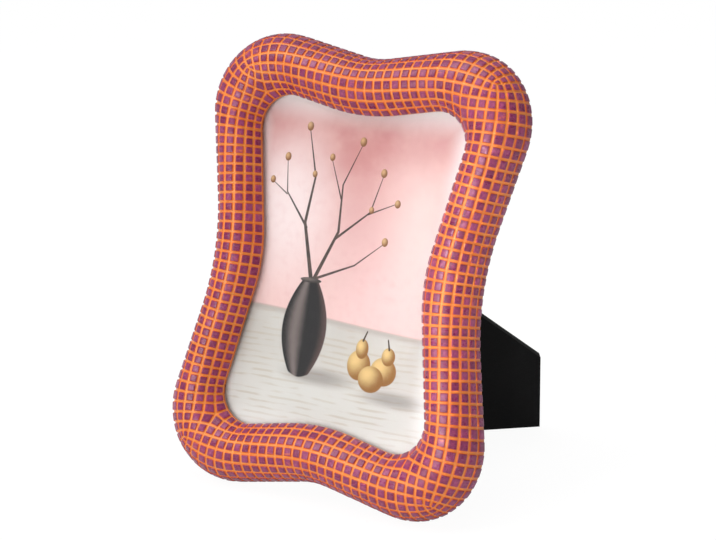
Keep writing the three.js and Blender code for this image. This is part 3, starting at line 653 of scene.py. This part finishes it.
def head_place(node, axis):
    """The top of a turned CAD node's head, and the node's length, along its axis."""
    co = np.array([v.co for v in frame["nodes"][node].data.vertices])
    middle = (co.min(0) + co.max(0)) / 2
    reach = (co - middle) @ np.array(axis)
    return Vector(middle + np.array(axis) * reach.max()), reach.max() - reach.min()


def turned(profile, steps):
    """A closed turned mesh about Z, from a profile (radius, height) that starts and ends on the axis."""
    mesh = bmesh.new()
    angles = [2 * math.pi * k / steps for k in range(steps)]
    rings = []
    for radius, height in profile:
        if radius == 0.0:
            rings.append([mesh.verts.new((0.0, 0.0, height))] * steps)
        else:
            rings.append([mesh.verts.new((radius * math.cos(a), radius * math.sin(a), height)) for a in angles])
    for upper, lower in zip(rings, rings[1:]):
        for k in range(steps):
            corners = (upper[k], lower[k], lower[(k + 1) % steps], upper[(k + 1) % steps])
            mesh.faces.new(tuple(dict.fromkeys(corners))).smooth = True
    return mesh


def creased(mesh, degrees):
    """Leaves edges sharp where the faces turn by more than this, with the faces outwards."""
    for edge in mesh.edges:
        edge.smooth = edge.calc_face_angle(0.0) < math.radians(degrees)
    bmesh.ops.recalc_face_normals(mesh, faces=mesh.faces)
    return mesh


def domed(radius, height, steps=8):
    """Profile of a dome, from its top at height 0 to its rim."""
    turns = [math.pi / 2 * k / steps for k in range(steps + 1)]
    return [(radius * math.sin(t), height * (math.cos(t) - 1.0)) for t in turns]


def screw_shape(length):
    """A pan-head screw with a cross recess, hanging down from its head's top."""
    under = -SCREW_DOME - HEAD_EDGE
    shank = [(SCREW_SHANK, under), (SCREW_SHANK, SCREW_POINT - length), (0.0, -length)]
    mesh = turned([*domed(SCREW_HEAD, SCREW_DOME), (SCREW_HEAD - HEAD_EDGE, under), *shank], 48)
    for normal in ((1, 0, 0), (0, 1, 0)):
        for side in (-CROSS_HALF, CROSS_HALF):
            geom = mesh.verts[:] + mesh.edges[:] + mesh.faces[:]
            place = tuple(side * n for n in normal)
            bmesh.ops.bisect_plane(mesh, geom=geom, dist=1e-7, plane_co=place, plane_no=normal)

    def in_cross(face):
        m = face.calc_center_median()
        near, far = sorted((abs(m.x), abs(m.y)))
        return m.z > -SCREW_DOME * 2 / 3 and near < CROSS_HALF and far < CROSS_ARM

    cross = [f for f in mesh.faces if in_cross(f)]
    floor = bmesh.ops.extrude_face_region(mesh, geom=cross)["geom"]
    bmesh.ops.delete(mesh, geom=cross, context="FACES")
    for vert in (g for g in floor if isinstance(g, bmesh.types.BMVert)):
        vert.co = (vert.co.x * CROSS_TAPER, vert.co.y * CROSS_TAPER, -CROSS_DEPTH)
    return creased(mesh, 40.0)


def rivet_shape(length):
    """A rivet with a domed head, a pressed ring on it and a rolled tail, hanging down from its head's top."""
    under = -RIVET_DOME - HEAD_EDGE
    dome = domed(RIVET_HEAD, RIVET_DOME)
    dome[2:4] = [(dome[2][0], dome[2][1] - 0.00008), (dome[3][0], dome[3][1] - 0.00002)]
    tail = [(radius, height - length) for radius, height in RIVET_TAIL]
    return creased(turned([*dome, (RIVET_HEAD - 2 * HEAD_EDGE, under), (RIVET_SHANK, under), *tail], 32), 50.0)


def set_out(name, shape, places, axis, material, seed):
    """Sets a turned shape out at places, upright on an axis, each turned by chance about it."""
    tree, sockets, names = growing(name, {"Shape": "Object", "Upright": "Vector"})
    points, model, upright = sockets
    copy = tree.node("GeometryNodeObjectInfo", {}, {"Object": model}, "Geometry")
    stand = tree.node("FunctionNodeAlignRotationToVector", {"axis": "Z"}, {"Vector": upright})
    inputs = {"Points": points, "Instance": copy, "Rotation": stand}
    copies = tree.node("GeometryNodeInstanceOnPoints", {}, inputs)
    inputs = {"Axis": (0.0, 0.0, 1.0), "Angle": chance(tree, seed, 0.0, math.tau)}
    spun = tree.node("FunctionNodeAxisAngleToRotation", {}, inputs)
    inputs = {"Instances": copies, "Rotation": spun, "Local Space": True}
    copies = tree.node("GeometryNodeRotateInstances", {}, inputs)

    pattern = new_piece(name + "_pattern", shape)
    mesh = bmesh.new()
    for place in places:
        mesh.verts.new(place)
    inputs = {names["Shape"]: pattern, names["Upright"]: tuple(axis)}
    piece = grown(new_piece(name, mesh), tree, copies, material, inputs)
    bpy.data.objects.remove(pattern)
    return piece


def tile_paint(looks):
    """Painted resin: orange ground, plum tile tops, the ground showing through at the tiles' edges, with painted light
    and shade in the grooves and painted shade at the tile tops' edges.
    """
    f = Finish("tile_paint")
    relief, tone, plain = f.attribute("relief"), f.attribute("tone"), f.attribute("plain")
    u, v, _ = f.split(f.attribute("spot", "Vector"))
    cloud, grain = f.noise(90.0), f.noise(900.0, 2.0)
    streak = f.noise(420.0, 3.0, 0.6, f.moved((0.16, 1.0, 1.0), (0.0, 0.9, 0.35)))
    brush = f.noise(150.0, 4.0, 0.6, f.moved((0.3, 1.0, 1.0), (0.0, 0.8, 0.0)))

    # Grooves, with painted light in their middles and painted shade by the tile walls; flat back and tile walls
    # Painted light and shade: the groove paint is paler along the grooves' middles and darker towards the tile walls
    thin = f.fade(relief + (cloud - 0.5) * 0.2, 0.0, 0.16)
    ground = f.mix(thin, looks.ground_light, looks.ground_colour)
    brushed = f.fade(brush * 0.5 + cloud * 0.35 + grain * 0.15, 0.36, 0.64)
    ground = f.mix(plain, ground, f.mix(brushed, looks.back_colour, looks.back_light))
    wall = f.mix(f.fade(relief + (grain - 0.5) * 0.2, 0.14, 0.4), ground, looks.wall_colour)

    # Tile tops: tone, rubbing, hatch lines one way on half of the tiles, painted shade along their edges, worn streaks
    top = f.mix(f.fade(tone * 0.7 + cloud * 0.3, 0.2, 0.8), looks.tile_colour, looks.tile_light)
    rubbed = f.fade(cloud * 0.6 + grain * 0.4 + (tone - 0.5) * 0.12, 0.48, 0.66)
    top = f.mix(rubbed * 0.32, top, looks.tile_chalk)
    other_way = f.fade(tone, 0.49, 0.51) * (HATCH_CLOSE - HATCH_LONG)
    lines = f.joined(u * (HATCH_CLOSE - other_way), v * (HATCH_LONG + other_way), tone * HATCH_KINDS)
    hatch = f.noise(2.0, 2.0, 0.5, lines)
    top = f.mix(f.fade(hatch, 0.5, 0.66) * 0.42, top, looks.tile_chalk)
    top = f.mix(f.fade(hatch, 0.48, 0.34) * 0.45, top, looks.tile_dark)
    # Painted shade: the tile tops darken towards their edges
    painted_edge_shade = f.fade(abs(u - 0.5).most(abs(v - 0.5)), 0.24, 0.4)
    top = f.mix(painted_edge_shade * 0.3, top, looks.tile_dark)
    worn = f.fade(streak + grain * 0.15, 0.66, 0.78) * f.fade(tone, 0.55, 0.95)
    top = f.mix(worn * 0.55, top, looks.ground_colour)

    edge = f.fade(relief + (grain - 0.5) * 0.2 + (cloud - 0.5) * 0.15, 0.42, 0.72)
    return f.surface(
        base_color=f.mix(edge, wall, top),
        roughness=0.33 + streak * 0.1 + rubbed * 0.06 - edge * 0.1 + plain * 0.25,
        normal=f.bump(grain * 0.4 + streak * 0.6 + hatch * edge + brush * plain, 0.00014, 0.5),
        specular_ior_level=0.5,
    )


def printed_picture():
    """Printed paper: branches in a dark vase and pears on pale linen, before a pink plaster wall."""
    f = Finish("printed_picture")
    panel = f.moved(kind="TEXTURE", turn=(-LEAN, 0, 0), offset=tuple(PANEL_MIDDLE * MM))
    x, _, y = f.split(panel)
    x, y = x * (1 / MM), y * (1 / MM)
    trowel = f.noise(30.0, 5.0, 0.6, panel)
    speck = f.noise(280.0, 4.0, 0.7, panel)

    def away(cx, cy, rx, ry):
        """Distance from a point, in shares of an ellipse's half sizes."""
        return (((x - cx) / rx) ** 2.0 + ((y - cy) / ry) ** 2.0).sqrt()

    def stroke(points):
        """A line through points, which tapers between their thicknesses."""
        drawn = None
        for (ax, ay, thick), (bx, by, thin) in zip(points, points[1:]):
            dx, dy = bx - ax, by - ay
            along = (((x - ax) * dx + (y - ay) * dy) / (dx * dx + dy * dy)).most(0.0).least(1.0)
            off = ((x - ax - along * dx) ** 2.0 + (y - ay - along * dy) ** 2.0).sqrt()
            part = f.fade(off - along * (thin - thick), thick + 0.12, thick - 0.12)
            drawn = part if drawn is None else drawn.most(part)
        return drawn

    def paint(share, ink):
        nonlocal picture
        picture = f.mix(share, picture, ink)

    def blob(cx, cy, rx, ry, inks):
        """Paints a rounded thing, lit from the upper left."""
        lit = f.fade(away(cx - 0.35 * rx, cy + 0.35 * ry, rx, ry) + (speck - 0.5) * 0.3, 1.25, 0.1)
        paint(f.fade(away(cx, cy, rx, ry), 1.04, 0.96), f.mix(lit, *inks))

    # Plaster wall, paler towards the linen and at the two glows
    picture = f.mix(f.fade(y, 60.0, -10.0), *PLASTER)
    paint(f.fade(trowel, 0.35, 0.68) * 0.5, PLASTER_TROWEL)
    paint(f.fade(away(-34.0, 24.0, 36.0, 46.0), 1.0, 0.1) * 0.85, LEFT_GLOW)
    paint(f.fade(speck, 0.45, 0.8) * 0.22, PLASTER_SPECK)
    paint(f.fade(away(33.0, 30.0, 32.0, 46.0), 1.0, 0.0) * 0.5, RIGHT_GLOW)
    paint(f.fade(away(6.0, 8.0, 26.0, 40.0), 1.0, 0.1) * f.fade(trowel, 0.3, 0.6) * 0.16, PLASTER_SHADE)

    # Linen with woven dashes, its hem, and the shadows on it
    rows = (y * 2.4 + (x * 0.09).sin() * 1.4 + trowel * 6.0).sin()
    dashes = f.noise(150.0, 2.0, 0.5, f.moved((0.6, 1.0, 3.0), at=panel))
    linen = f.mix(f.fade(y, -24.0, -70.0), *LINEN)
    linen = f.mix(f.fade(rows, 0.1, 0.8) * f.fade(dashes, 0.42, 0.6) * 0.5, linen, LINEN_WEAVE)
    linen = f.mix(f.fade(trowel, 0.4, 0.7) * 0.3, linen, LINEN_LIT)
    hem = y + (x * 0.03).sin() * 2.0
    paint(f.fade(hem, -21.0, -22.0), linen)
    paint(f.fade(hem, -20.6, -21.4) * f.fade(hem, -24.5, -22.0) * 0.5, HEM_SHADE)
    for ellipse in CAST_SHADOWS:
        paint(f.fade(away(*ellipse), 1.1, 0.2) * 0.6, CAST_SHADE)

    # Branches and their buds
    dark = stroke(BRANCHES[0])
    for branch in BRANCHES[1:]:
        dark = dark.most(stroke(branch))
    paint(dark * 0.95, f.mix(f.fade(speck, 0.4, 0.6), *BARK))
    for cx, cy, size in BUDS:
        blob(cx, cy, size, size * 1.25, BUD)

    # Vase
    girth = ((y - VASE_FOOT) / VASE_HEIGHT * 2.5 + 0.38).sin().most(0.05) ** 0.8 * VASE_GIRTH
    over = (x - VASE_X) / girth
    belly = f.mix(f.fade(abs(over + 0.42) + (speck - 0.5) * 0.2, 0.5, 0.0), *VASE)
    belly = f.mix(f.fade(over, 0.55, 1.0) * 0.35, belly, VASE_EDGE)
    upright = f.fade(y, -5.7, -6.3) * f.fade(y - over * over * 1.6, -47.9, -47.3)
    paint(f.fade(abs(over), 1.02, 0.97) * upright, belly)
    blob(VASE_X, -6.0, 5.2, 1.1, VASE_MOUTH)

    # Pears, their stalks, and painted white glare along the print's edges
    for pear in PEARS:
        blob(*pear, PEAR)
    for stalk in STALKS:
        paint(stroke(stalk), STALK)
    # Painted glare: whitest along the right and top edges, fainter along the left and bottom
    rim = f.fade(x, 38.0, 51.0).most(f.fade(y, 58.0, 74.0))
    rim = rim.most(f.fade(x, -44.0, -52.0) * 0.6).most(f.fade(y, -60.0, -74.0) * 0.8)
    paint(rim * 0.85, EDGE_GLARE)
    return f.surface(base_color=picture, roughness=0.42 + speck * 0.08, specular_ior_level=0.3)


def clear_glass(looks):
    """Float glass: clear, with a Fresnel gloss."""
    f = Finish("clear_glass")
    inputs = {"Base Color": (*looks.glass_gloss, 1.0), "Roughness": 0.04 + f.noise(60.0, 2.0) * 0.03, "Metallic": 1.0}
    gloss = f.node("ShaderNodeBsdfPrincipled", {}, inputs)
    clear = f.node("ShaderNodeBsdfTransparent", {}, {"Color": (*looks.glass_tint, 1.0)})
    fresnel = f.node("ShaderNodeFresnel", {}, {"IOR": 1.45})
    return f.end(f.node("ShaderNodeMixShader", {}, {0: fresnel * 0.3, 1: clear, 2: gloss}))


def plain_card(looks):
    """Grey-brown card with fibres."""
    f = Finish("plain_card")
    fibre = f.noise(420.0, 5.0, 0.65, f.moved((1.0, 0.3, 0.3)))
    cloud = f.noise(40.0, 2.0)
    colour = f.mix(f.fade(fibre, 0.3, 0.75), looks.card_colour, looks.card_light)
    colour = f.mix(f.fade(cloud, 0.4, 0.8) * 0.3, colour, looks.card_dark)
    return f.surface(base_color=colour, roughness=0.85, normal=f.bump(fibre, 0.0001, 0.5))


def black_paper(looks):
    """Matt black grained paper over board, worn a little paler on its raised grain and edges."""
    f = Finish("black_paper")
    cells = f.node("ShaderNodeTexVoronoi", {"feature": "F1"}, {"Vector": f.place, "Scale": 1500.0})
    fibre = f.noise(700.0, 4.0, 0.6)
    cloud = f.noise(25.0)
    raised = f.fade(fibre, 0.35, 0.75) * 0.5 + f.fade(cloud, 0.4, 0.7) * 0.2
    colour = f.mix(raised, looks.paper_colour, looks.paper_light)
    worn = f.attribute("worn") * f.fade(fibre + cloud * 0.5, 0.45, 0.85)
    return f.surface(
        base_color=f.mix(worn, colour, looks.paper_worn),
        roughness=0.62 + fibre * 0.2,
        normal=f.bump(cells * 0.6 + fibre * 0.4, 0.0002, 0.7),
        specular_ior_level=0.12,
    )


def nickel_plate(looks):
    """Nickel plating with fine brush lines and a few duller patches."""
    f = Finish("nickel_plate")
    lines = f.noise(1600.0, 3.0, 0.6, f.moved((1.0, 0.08, 0.08), (0.0, 0.6, 0.0)))
    patch = f.noise(160.0)
    return f.surface(
        base_color=f.mix(f.fade(patch, 0.35, 0.75), looks.steel_colour, looks.steel_dull),
        metallic=1.0,
        roughness=0.24 + lines * 0.16 + patch * 0.08,
        normal=f.bump(lines, 0.00004, 0.4),
    )


def black_enamel(looks):
    """Black enamel on steel, with a slight orange-peel and paler rubbed spots and edges."""
    f = Finish("black_enamel")
    peel = f.noise(900.0, 2.0)
    rub = f.noise(220.0, 4.0, 0.65)
    colour = f.mix(f.fade(rub, 0.6, 0.8) * 0.5, looks.enamel_colour, looks.enamel_rubbed)
    worn = f.attribute("worn") * f.fade(rub, 0.35, 0.65) * 0.7
    return f.surface(
        base_color=f.mix(worn, colour, looks.enamel_worn),
        roughness=0.3 + rub * 0.18,
        normal=f.bump(peel, 0.00006, 0.5),
        specular_ior_level=0.5,
    )


def number(name, description, default, **kind):
    return FloatProperty(name=name, description=description, default=default, min=0.0, **kind)


def length(name, description, default):
    return number(name, description, default, unit="LENGTH", precision=5)


def power(name, description, default):
    return number(name, description, default, subtype="POWER")


def angle(name, description, degrees):
    return FloatProperty(name=name, description=description, default=math.radians(degrees), subtype="ANGLE")


def colour(name, description, default):
    look = {"size": 3, "min": 0.0, "max": 1.0, "subtype": "COLOR"}
    return FloatVectorProperty(name=name, description=description, default=default, **look)


class MouldingLooks(bpy.types.PropertyGroup):
    """Sizes and colours of the tiled moulding."""

    groove: length("Groove width", "Width of the groove between two tiles, at its floor", 0.0011)
    rise: length("Tile rise", "Height of a tile's top over the groove", 0.00078)
    edge: length("Tile edge", "Height of the rounded edge round a tile's top", 0.00014)
    crown: length("Tile crown", "Height of the low crown on a tile's top", 0.00006)
    corner_cut: length("Tile corner", "How much is cut off a tile's corners", 0.00022)
    tile_colour: colour("Tile colour", "Paint on the tile tops", (0.225, 0.017, 0.083))
    tile_light: colour("Light tile colour", "Paint on the paler tile tops", (0.33, 0.038, 0.145))
    # Dark hatch lines, and the painted shade along the edges of the tile tops
    tile_dark: colour("Dark tile colour", "Borders and dark hatch lines of the tile tops", (0.11, 0.010, 0.046))
    tile_chalk: colour("Rubbed tile colour", "Rubbed spots and pale hatch lines of the tile tops", (0.36, 0.095, 0.19))
    wall_colour: colour("Tile wall colour", "Where the two paints meet on a tile's walls", (0.48, 0.06, 0.016))
    ground_colour: colour("Groove colour", "Paint in the grooves", (0.78, 0.155, 0.01))
    # Painted light: the paler colour of the grooves' middles; their sides by the tile walls keep the darker groove
    # colour as painted shade
    ground_light: colour("Light groove colour", "Middle of the grooves, where the paint is thin", (0.79, 0.27, 0.05))
    back_colour: colour("Back colour", "Undercoat on the flat back", (0.60, 0.125, 0.018))
    back_light: colour("Thin back colour", "Where that undercoat is brushed thin", (0.68, 0.165, 0.03))


class BackLooks(bpy.types.PropertyGroup):
    """Edges and colours of what is in and on the back: pane, card, board, leg and fittings."""

    board_edge: length("Board edge", "Rounding of the back board's edges", 0.0004)
    leg_edge: length("Leg edge", "Rounding of the leg's edges", 0.00045)
    catch_edge: length("Catch edge", "Rounding of the catches' edges", 0.0002)
    pin_edge: length("Pin edge", "Rounding of the hinge pin's edges", 0.00025)
    leaf_edge: length("Leaf edge", "Rounding of the hinge leaves' edges", 0.00018)
    glass_tint: colour("Glass tint", "Colour of what is seen through the pane", (0.985, 0.99, 0.985))
    glass_gloss: colour("Glass gloss", "Colour of the pane's reflections", (0.9, 0.95, 0.93))
    card_colour: colour("Card colour", "Card behind the print", (0.42, 0.35, 0.25))
    card_light: colour("Card fibre colour", "Pale fibres of that card", (0.56, 0.49, 0.38))
    card_dark: colour("Card stain colour", "Darker clouds on that card", (0.36, 0.29, 0.2))
    paper_colour: colour("Paper colour", "Black paper on the back board and leg", (0.003, 0.003, 0.0033))
    paper_worn: colour("Worn paper colour", "Where that paper is rubbed along its edges", (0.085, 0.08, 0.075))
    paper_light: colour("Paper grain colour", "Raised grain of that paper", (0.009, 0.009, 0.0094))
    steel_colour: colour("Plating colour", "Plating of the catches, screws, pin and rivets", (0.70, 0.69, 0.66))
    steel_dull: colour("Dull plating colour", "Duller patches of the plating", (0.52, 0.51, 0.49))
    enamel_colour: colour("Enamel colour", "Black enamel of the hinge", (0.018, 0.018, 0.019))
    enamel_rubbed: colour("Rubbed enamel colour", "Rubbed spots of that enamel", (0.09, 0.09, 0.09))
    enamel_worn: colour("Worn enamel colour", "Where that enamel is worn along its edges", (0.2, 0.195, 0.19))


class StageLooks(bpy.types.PropertyGroup):
    """The camera, the light and the floor."""

    azimuth: angle("Azimuth", "Angle of the camera round the frame", 31.0)
    elevation: angle("Elevation", "Angle of the camera above the table", 15.4)
    distance: length("Distance", "From the camera to the frame's middle", 0.8826)
    lens: number("Lens", "Focal length of the camera", 104.82, unit="CAMERA")
    key: number("Key light", "Strength of the broad light from the upper left", 1.05)
    front: power("Front light", "Strength of the wide light in front", 4.2)
    gloss: power("Gloss lights", "Strength of each narrow light on the right rail", 0.019)
    top: power("Top light", "Strength of the light from above", 5.6)
    fill: power("Fill light", "Strength of the light from the right", 0.2)
    sky: number("Room light", "Strength of the light from all round", 0.32)
    floor_colour: colour("Floor colour", "Colour of the floor", (0.85, 0.85, 0.85))
    floor_mottle: colour("Floor mottle colour", "Slight clouds on the floor", (0.8, 0.8, 0.8))


class FRAME_OT_moulding(bpy.types.Operator):
    """Makes the tiled moulding and puts it in the place of its plainer solid"""

    bl_idname = "photo_frame.moulding"
    bl_label = "Tiled moulding"

    def execute(self, context):
        looks = context.scene.moulding_looks
        ground = moulding_ground(MouldingSurface(), looks.groove / MM, looks.rise / MM, looks.corner_cut / MM)
        piece = new_piece("tiled_moulding", ground)
        wall = looks.rise * SEAT_SHARE - looks.edge - looks.crown
        raise_tiles(piece, tile_paint(looks), {"Wall": wall, "Edge": looks.edge, "Crown": looks.crown})
        stands_for(piece, "frame_moulding")
        return {"FINISHED"}


class FRAME_OT_picture(bpy.types.Operator):
    """Finishes the pane, the print and the card behind it"""

    bl_idname = "photo_frame.picture"
    bl_label = "Pane, print and card"

    def execute(self, context):
        looks = context.scene.back_looks
        dress(clear_glass(looks), "glass_pane")
        dress(printed_picture(), "photo_print")
        dress(plain_card(looks), "filler_card")
        return {"FINISHED"}


class FRAME_OT_back(bpy.types.Operator):
    """Finishes the back board and the leg"""

    bl_idname = "photo_frame.back"
    bl_label = "Back board and leg"

    def execute(self, context):
        looks = context.scene.back_looks
        paper = black_paper(looks)
        eased("back_board", paper, looks.board_edge)
        eased("easel_leg", paper, looks.leg_edge)
        return {"FINISHED"}


class FRAME_OT_fittings(bpy.types.Operator):
    """Finishes the catches, screws, hinge and rivets"""

    bl_idname = "photo_frame.fittings"
    bl_label = "Catches, screws and hinge"

    def execute(self, context):
        looks = context.scene.back_looks
        nickel, enamel = nickel_plate(looks), black_enamel(looks)
        corners = [f"{end}_{side}" for end in ("upper", "lower") for side in ("left", "right")]
        for corner in corners:
            eased(f"turn_button_{corner}", nickel, looks.catch_edge)
        eased("hinge_pin", nickel, looks.pin_edge)
        for leaf in ("hinge_board_leaf", "hinge_leg_leaf"):
            eased(leaf, enamel, looks.leaf_edge)
        fold = frame["joints"][0]
        back = Vector((0.0, math.cos(LEAN), -math.sin(LEAN)))
        opened = Matrix.Rotation(math.radians(-fold["range_deg"][0]), 3, Vector(fold["axis"])) @ back
        sets = (
            ("back_screws", [f"turn_button_screw_{c}" for c in corners], back, screw_shape, 5),
            ("board_rivets", ["board_rivet_1", "board_rivet_2"], back, rivet_shape, 6),
            ("leg_rivets", ["leg_rivet_1", "leg_rivet_2"], opened, rivet_shape, 8),
        )
        for name, nodes, axis, shape, seed in sets:
            heads = [head_place(node, axis) for node in nodes]
            piece = set_out(name, shape(heads[0][1]), [place for place, _ in heads], axis, nickel, seed)
            stands_for(piece, *nodes)
        return {"FINISHED"}


def seen(tree, shader, white, camera_share, gloss_share):
    """Lets the camera and glass see white over a shader, and gloss see some of it."""
    rays = ("Is Camera Ray", "Is Glossy Ray", "Is Transmission Ray")
    camera, glossy, through = tree.node("ShaderNodeLightPath", out=rays)
    share = (camera.most(through) * camera_share).most(glossy * gloss_share)
    return tree.node("ShaderNodeMixShader", {}, {0: share, 1: shader, 2: white})


def set_up(data, turn, place=(0.0, 0.0, 0.0)):
    """Puts a light or the camera in the scene."""
    thing = bpy.data.objects.new(data.name, data)
    bpy.context.scene.collection.objects.link(thing)
    thing.location = place
    thing.rotation_mode = "QUATERNION"
    thing.rotation_quaternion = turn
    return thing


def make_floor(looks):
    mesh = bmesh.new()
    place = Matrix.Translation((0.0, 0.0, -FLOOR_DROP))
    bmesh.ops.create_grid(mesh, x_segments=1, y_segments=1, size=FLOOR_HALF, matrix=place)
    floor = new_piece("floor", mesh)
    f = Finish("floor_paint")
    tint = f.mix(f.fade(f.noise(3.0, 2.0), 0.3, 0.7) * 0.05, looks.floor_colour, looks.floor_mottle)
    plain = f.node("ShaderNodeBsdfDiffuse", {}, {"Color": tint})
    white = f.node("ShaderNodeEmission", {}, {"Color": WHITE, "Strength": 1.05})
    floor.data.materials.append(f.end(seen(f, plain, white, 0.9, 0.4)))


def make_room(scene, looks):
    """The light from all round, with white behind the frame."""
    scene.world = bpy.data.worlds.new("room")
    scene.world.use_nodes = True
    room = Nodes(scene.world.node_tree)
    light, white = [
        room.node("ShaderNodeBackground", {}, {"Color": WHITE, "Strength": strength}) for strength in (looks.sky, 1.0)
    ]
    room.node("ShaderNodeOutputWorld", {}, {"Surface": seen(room, light, white, 1.0, 0.2)})


def make_lights(looks):
    key = bpy.data.lights.new("key", "SUN")
    key.energy, key.angle = looks.key, math.radians(KEY_SPREAD)
    set_up(key, Vector(KEY_WAY).to_track_quat("-Z", "Y"))
    for name, size, place, aim, spread in AREA_LIGHTS:
        light = bpy.data.lights.new(name, "AREA")
        light.shape, light.size, light.size_y = "RECTANGLE", *size
        light.energy, light.spread = getattr(looks, name), math.radians(spread)
        set_up(light, (Vector(aim) - Vector(place)).to_track_quat("-Z", "Y"), place)


def make_camera(scene, looks):
    a, e = looks.azimuth, looks.elevation
    right = Vector((math.cos(a), math.sin(a), 0.0))
    back = Vector((math.sin(a) * math.cos(e), -math.cos(a) * math.cos(e), math.sin(e)))
    up = back.cross(right)
    data = bpy.data.cameras.new("camera")
    data.lens, data.sensor_width = looks.lens, SENSOR_WIDTH
    data.clip_start, data.clip_end = CLIP_NEAR, CLIP_FAR
    offset = right * CAMERA_OFFSET[0] + up * CAMERA_OFFSET[1]
    place = Vector(PANEL_MIDDLE * MM) + back * looks.distance + offset
    scene.camera = set_up(data, Matrix((right, up, back)).transposed().to_quaternion(), place)


class FRAME_OT_stage(bpy.types.Operator):
    """Makes the floor, the light and the camera"""

    bl_idname = "photo_frame.stage"
    bl_label = "Floor, light and camera"

    def execute(self, context):
        scene, looks = context.scene, context.scene.stage_looks
        make_floor(looks)
        make_room(scene, looks)
        make_lights(looks)
        make_camera(scene, looks)
        scene.view_settings.view_transform = "Standard"
        return {"FINISHED"}


OPERATORS = (FRAME_OT_moulding, FRAME_OT_picture, FRAME_OT_back, FRAME_OT_fittings, FRAME_OT_stage)
GROUPS = {"moulding_looks": MouldingLooks, "back_looks": BackLooks, "stage_looks": StageLooks}


class FRAME_PT_panel(bpy.types.Panel):
    """Lists the steps and settings of the photo frame"""

    bl_idname = "FRAME_PT_panel"
    bl_label = "Photo Frame"
    bl_space_type = "VIEW_3D"
    bl_region_type = "UI"
    bl_category = "Photo Frame"

    def draw(self, context):
        for operator in OPERATORS:
            self.layout.operator(operator.bl_idname)
        for name, group in GROUPS.items():
            box = self.layout.box()
            for key in group.__annotations__:
                box.prop(getattr(context.scene, name), key)


def register():
    for name, group in GROUPS.items():
        bpy.utils.register_class(group)
        setattr(bpy.types.Scene, name, PointerProperty(type=group))
    for cls in (*OPERATORS, FRAME_PT_panel):
        bpy.utils.register_class(cls)


def unregister():
    for cls in (FRAME_PT_panel, *reversed(OPERATORS)):
        bpy.utils.unregister_class(cls)
    for name, group in GROUPS.items():
        delattr(bpy.types.Scene, name)
        bpy.utils.unregister_class(group)


def main():
    register()
    bpy.ops.photo_frame.moulding()
    bpy.ops.photo_frame.picture()
    bpy.ops.photo_frame.back()
    bpy.ops.photo_frame.fittings()
    bpy.ops.photo_frame.stage()


if __name__ == "__main__":
    main()
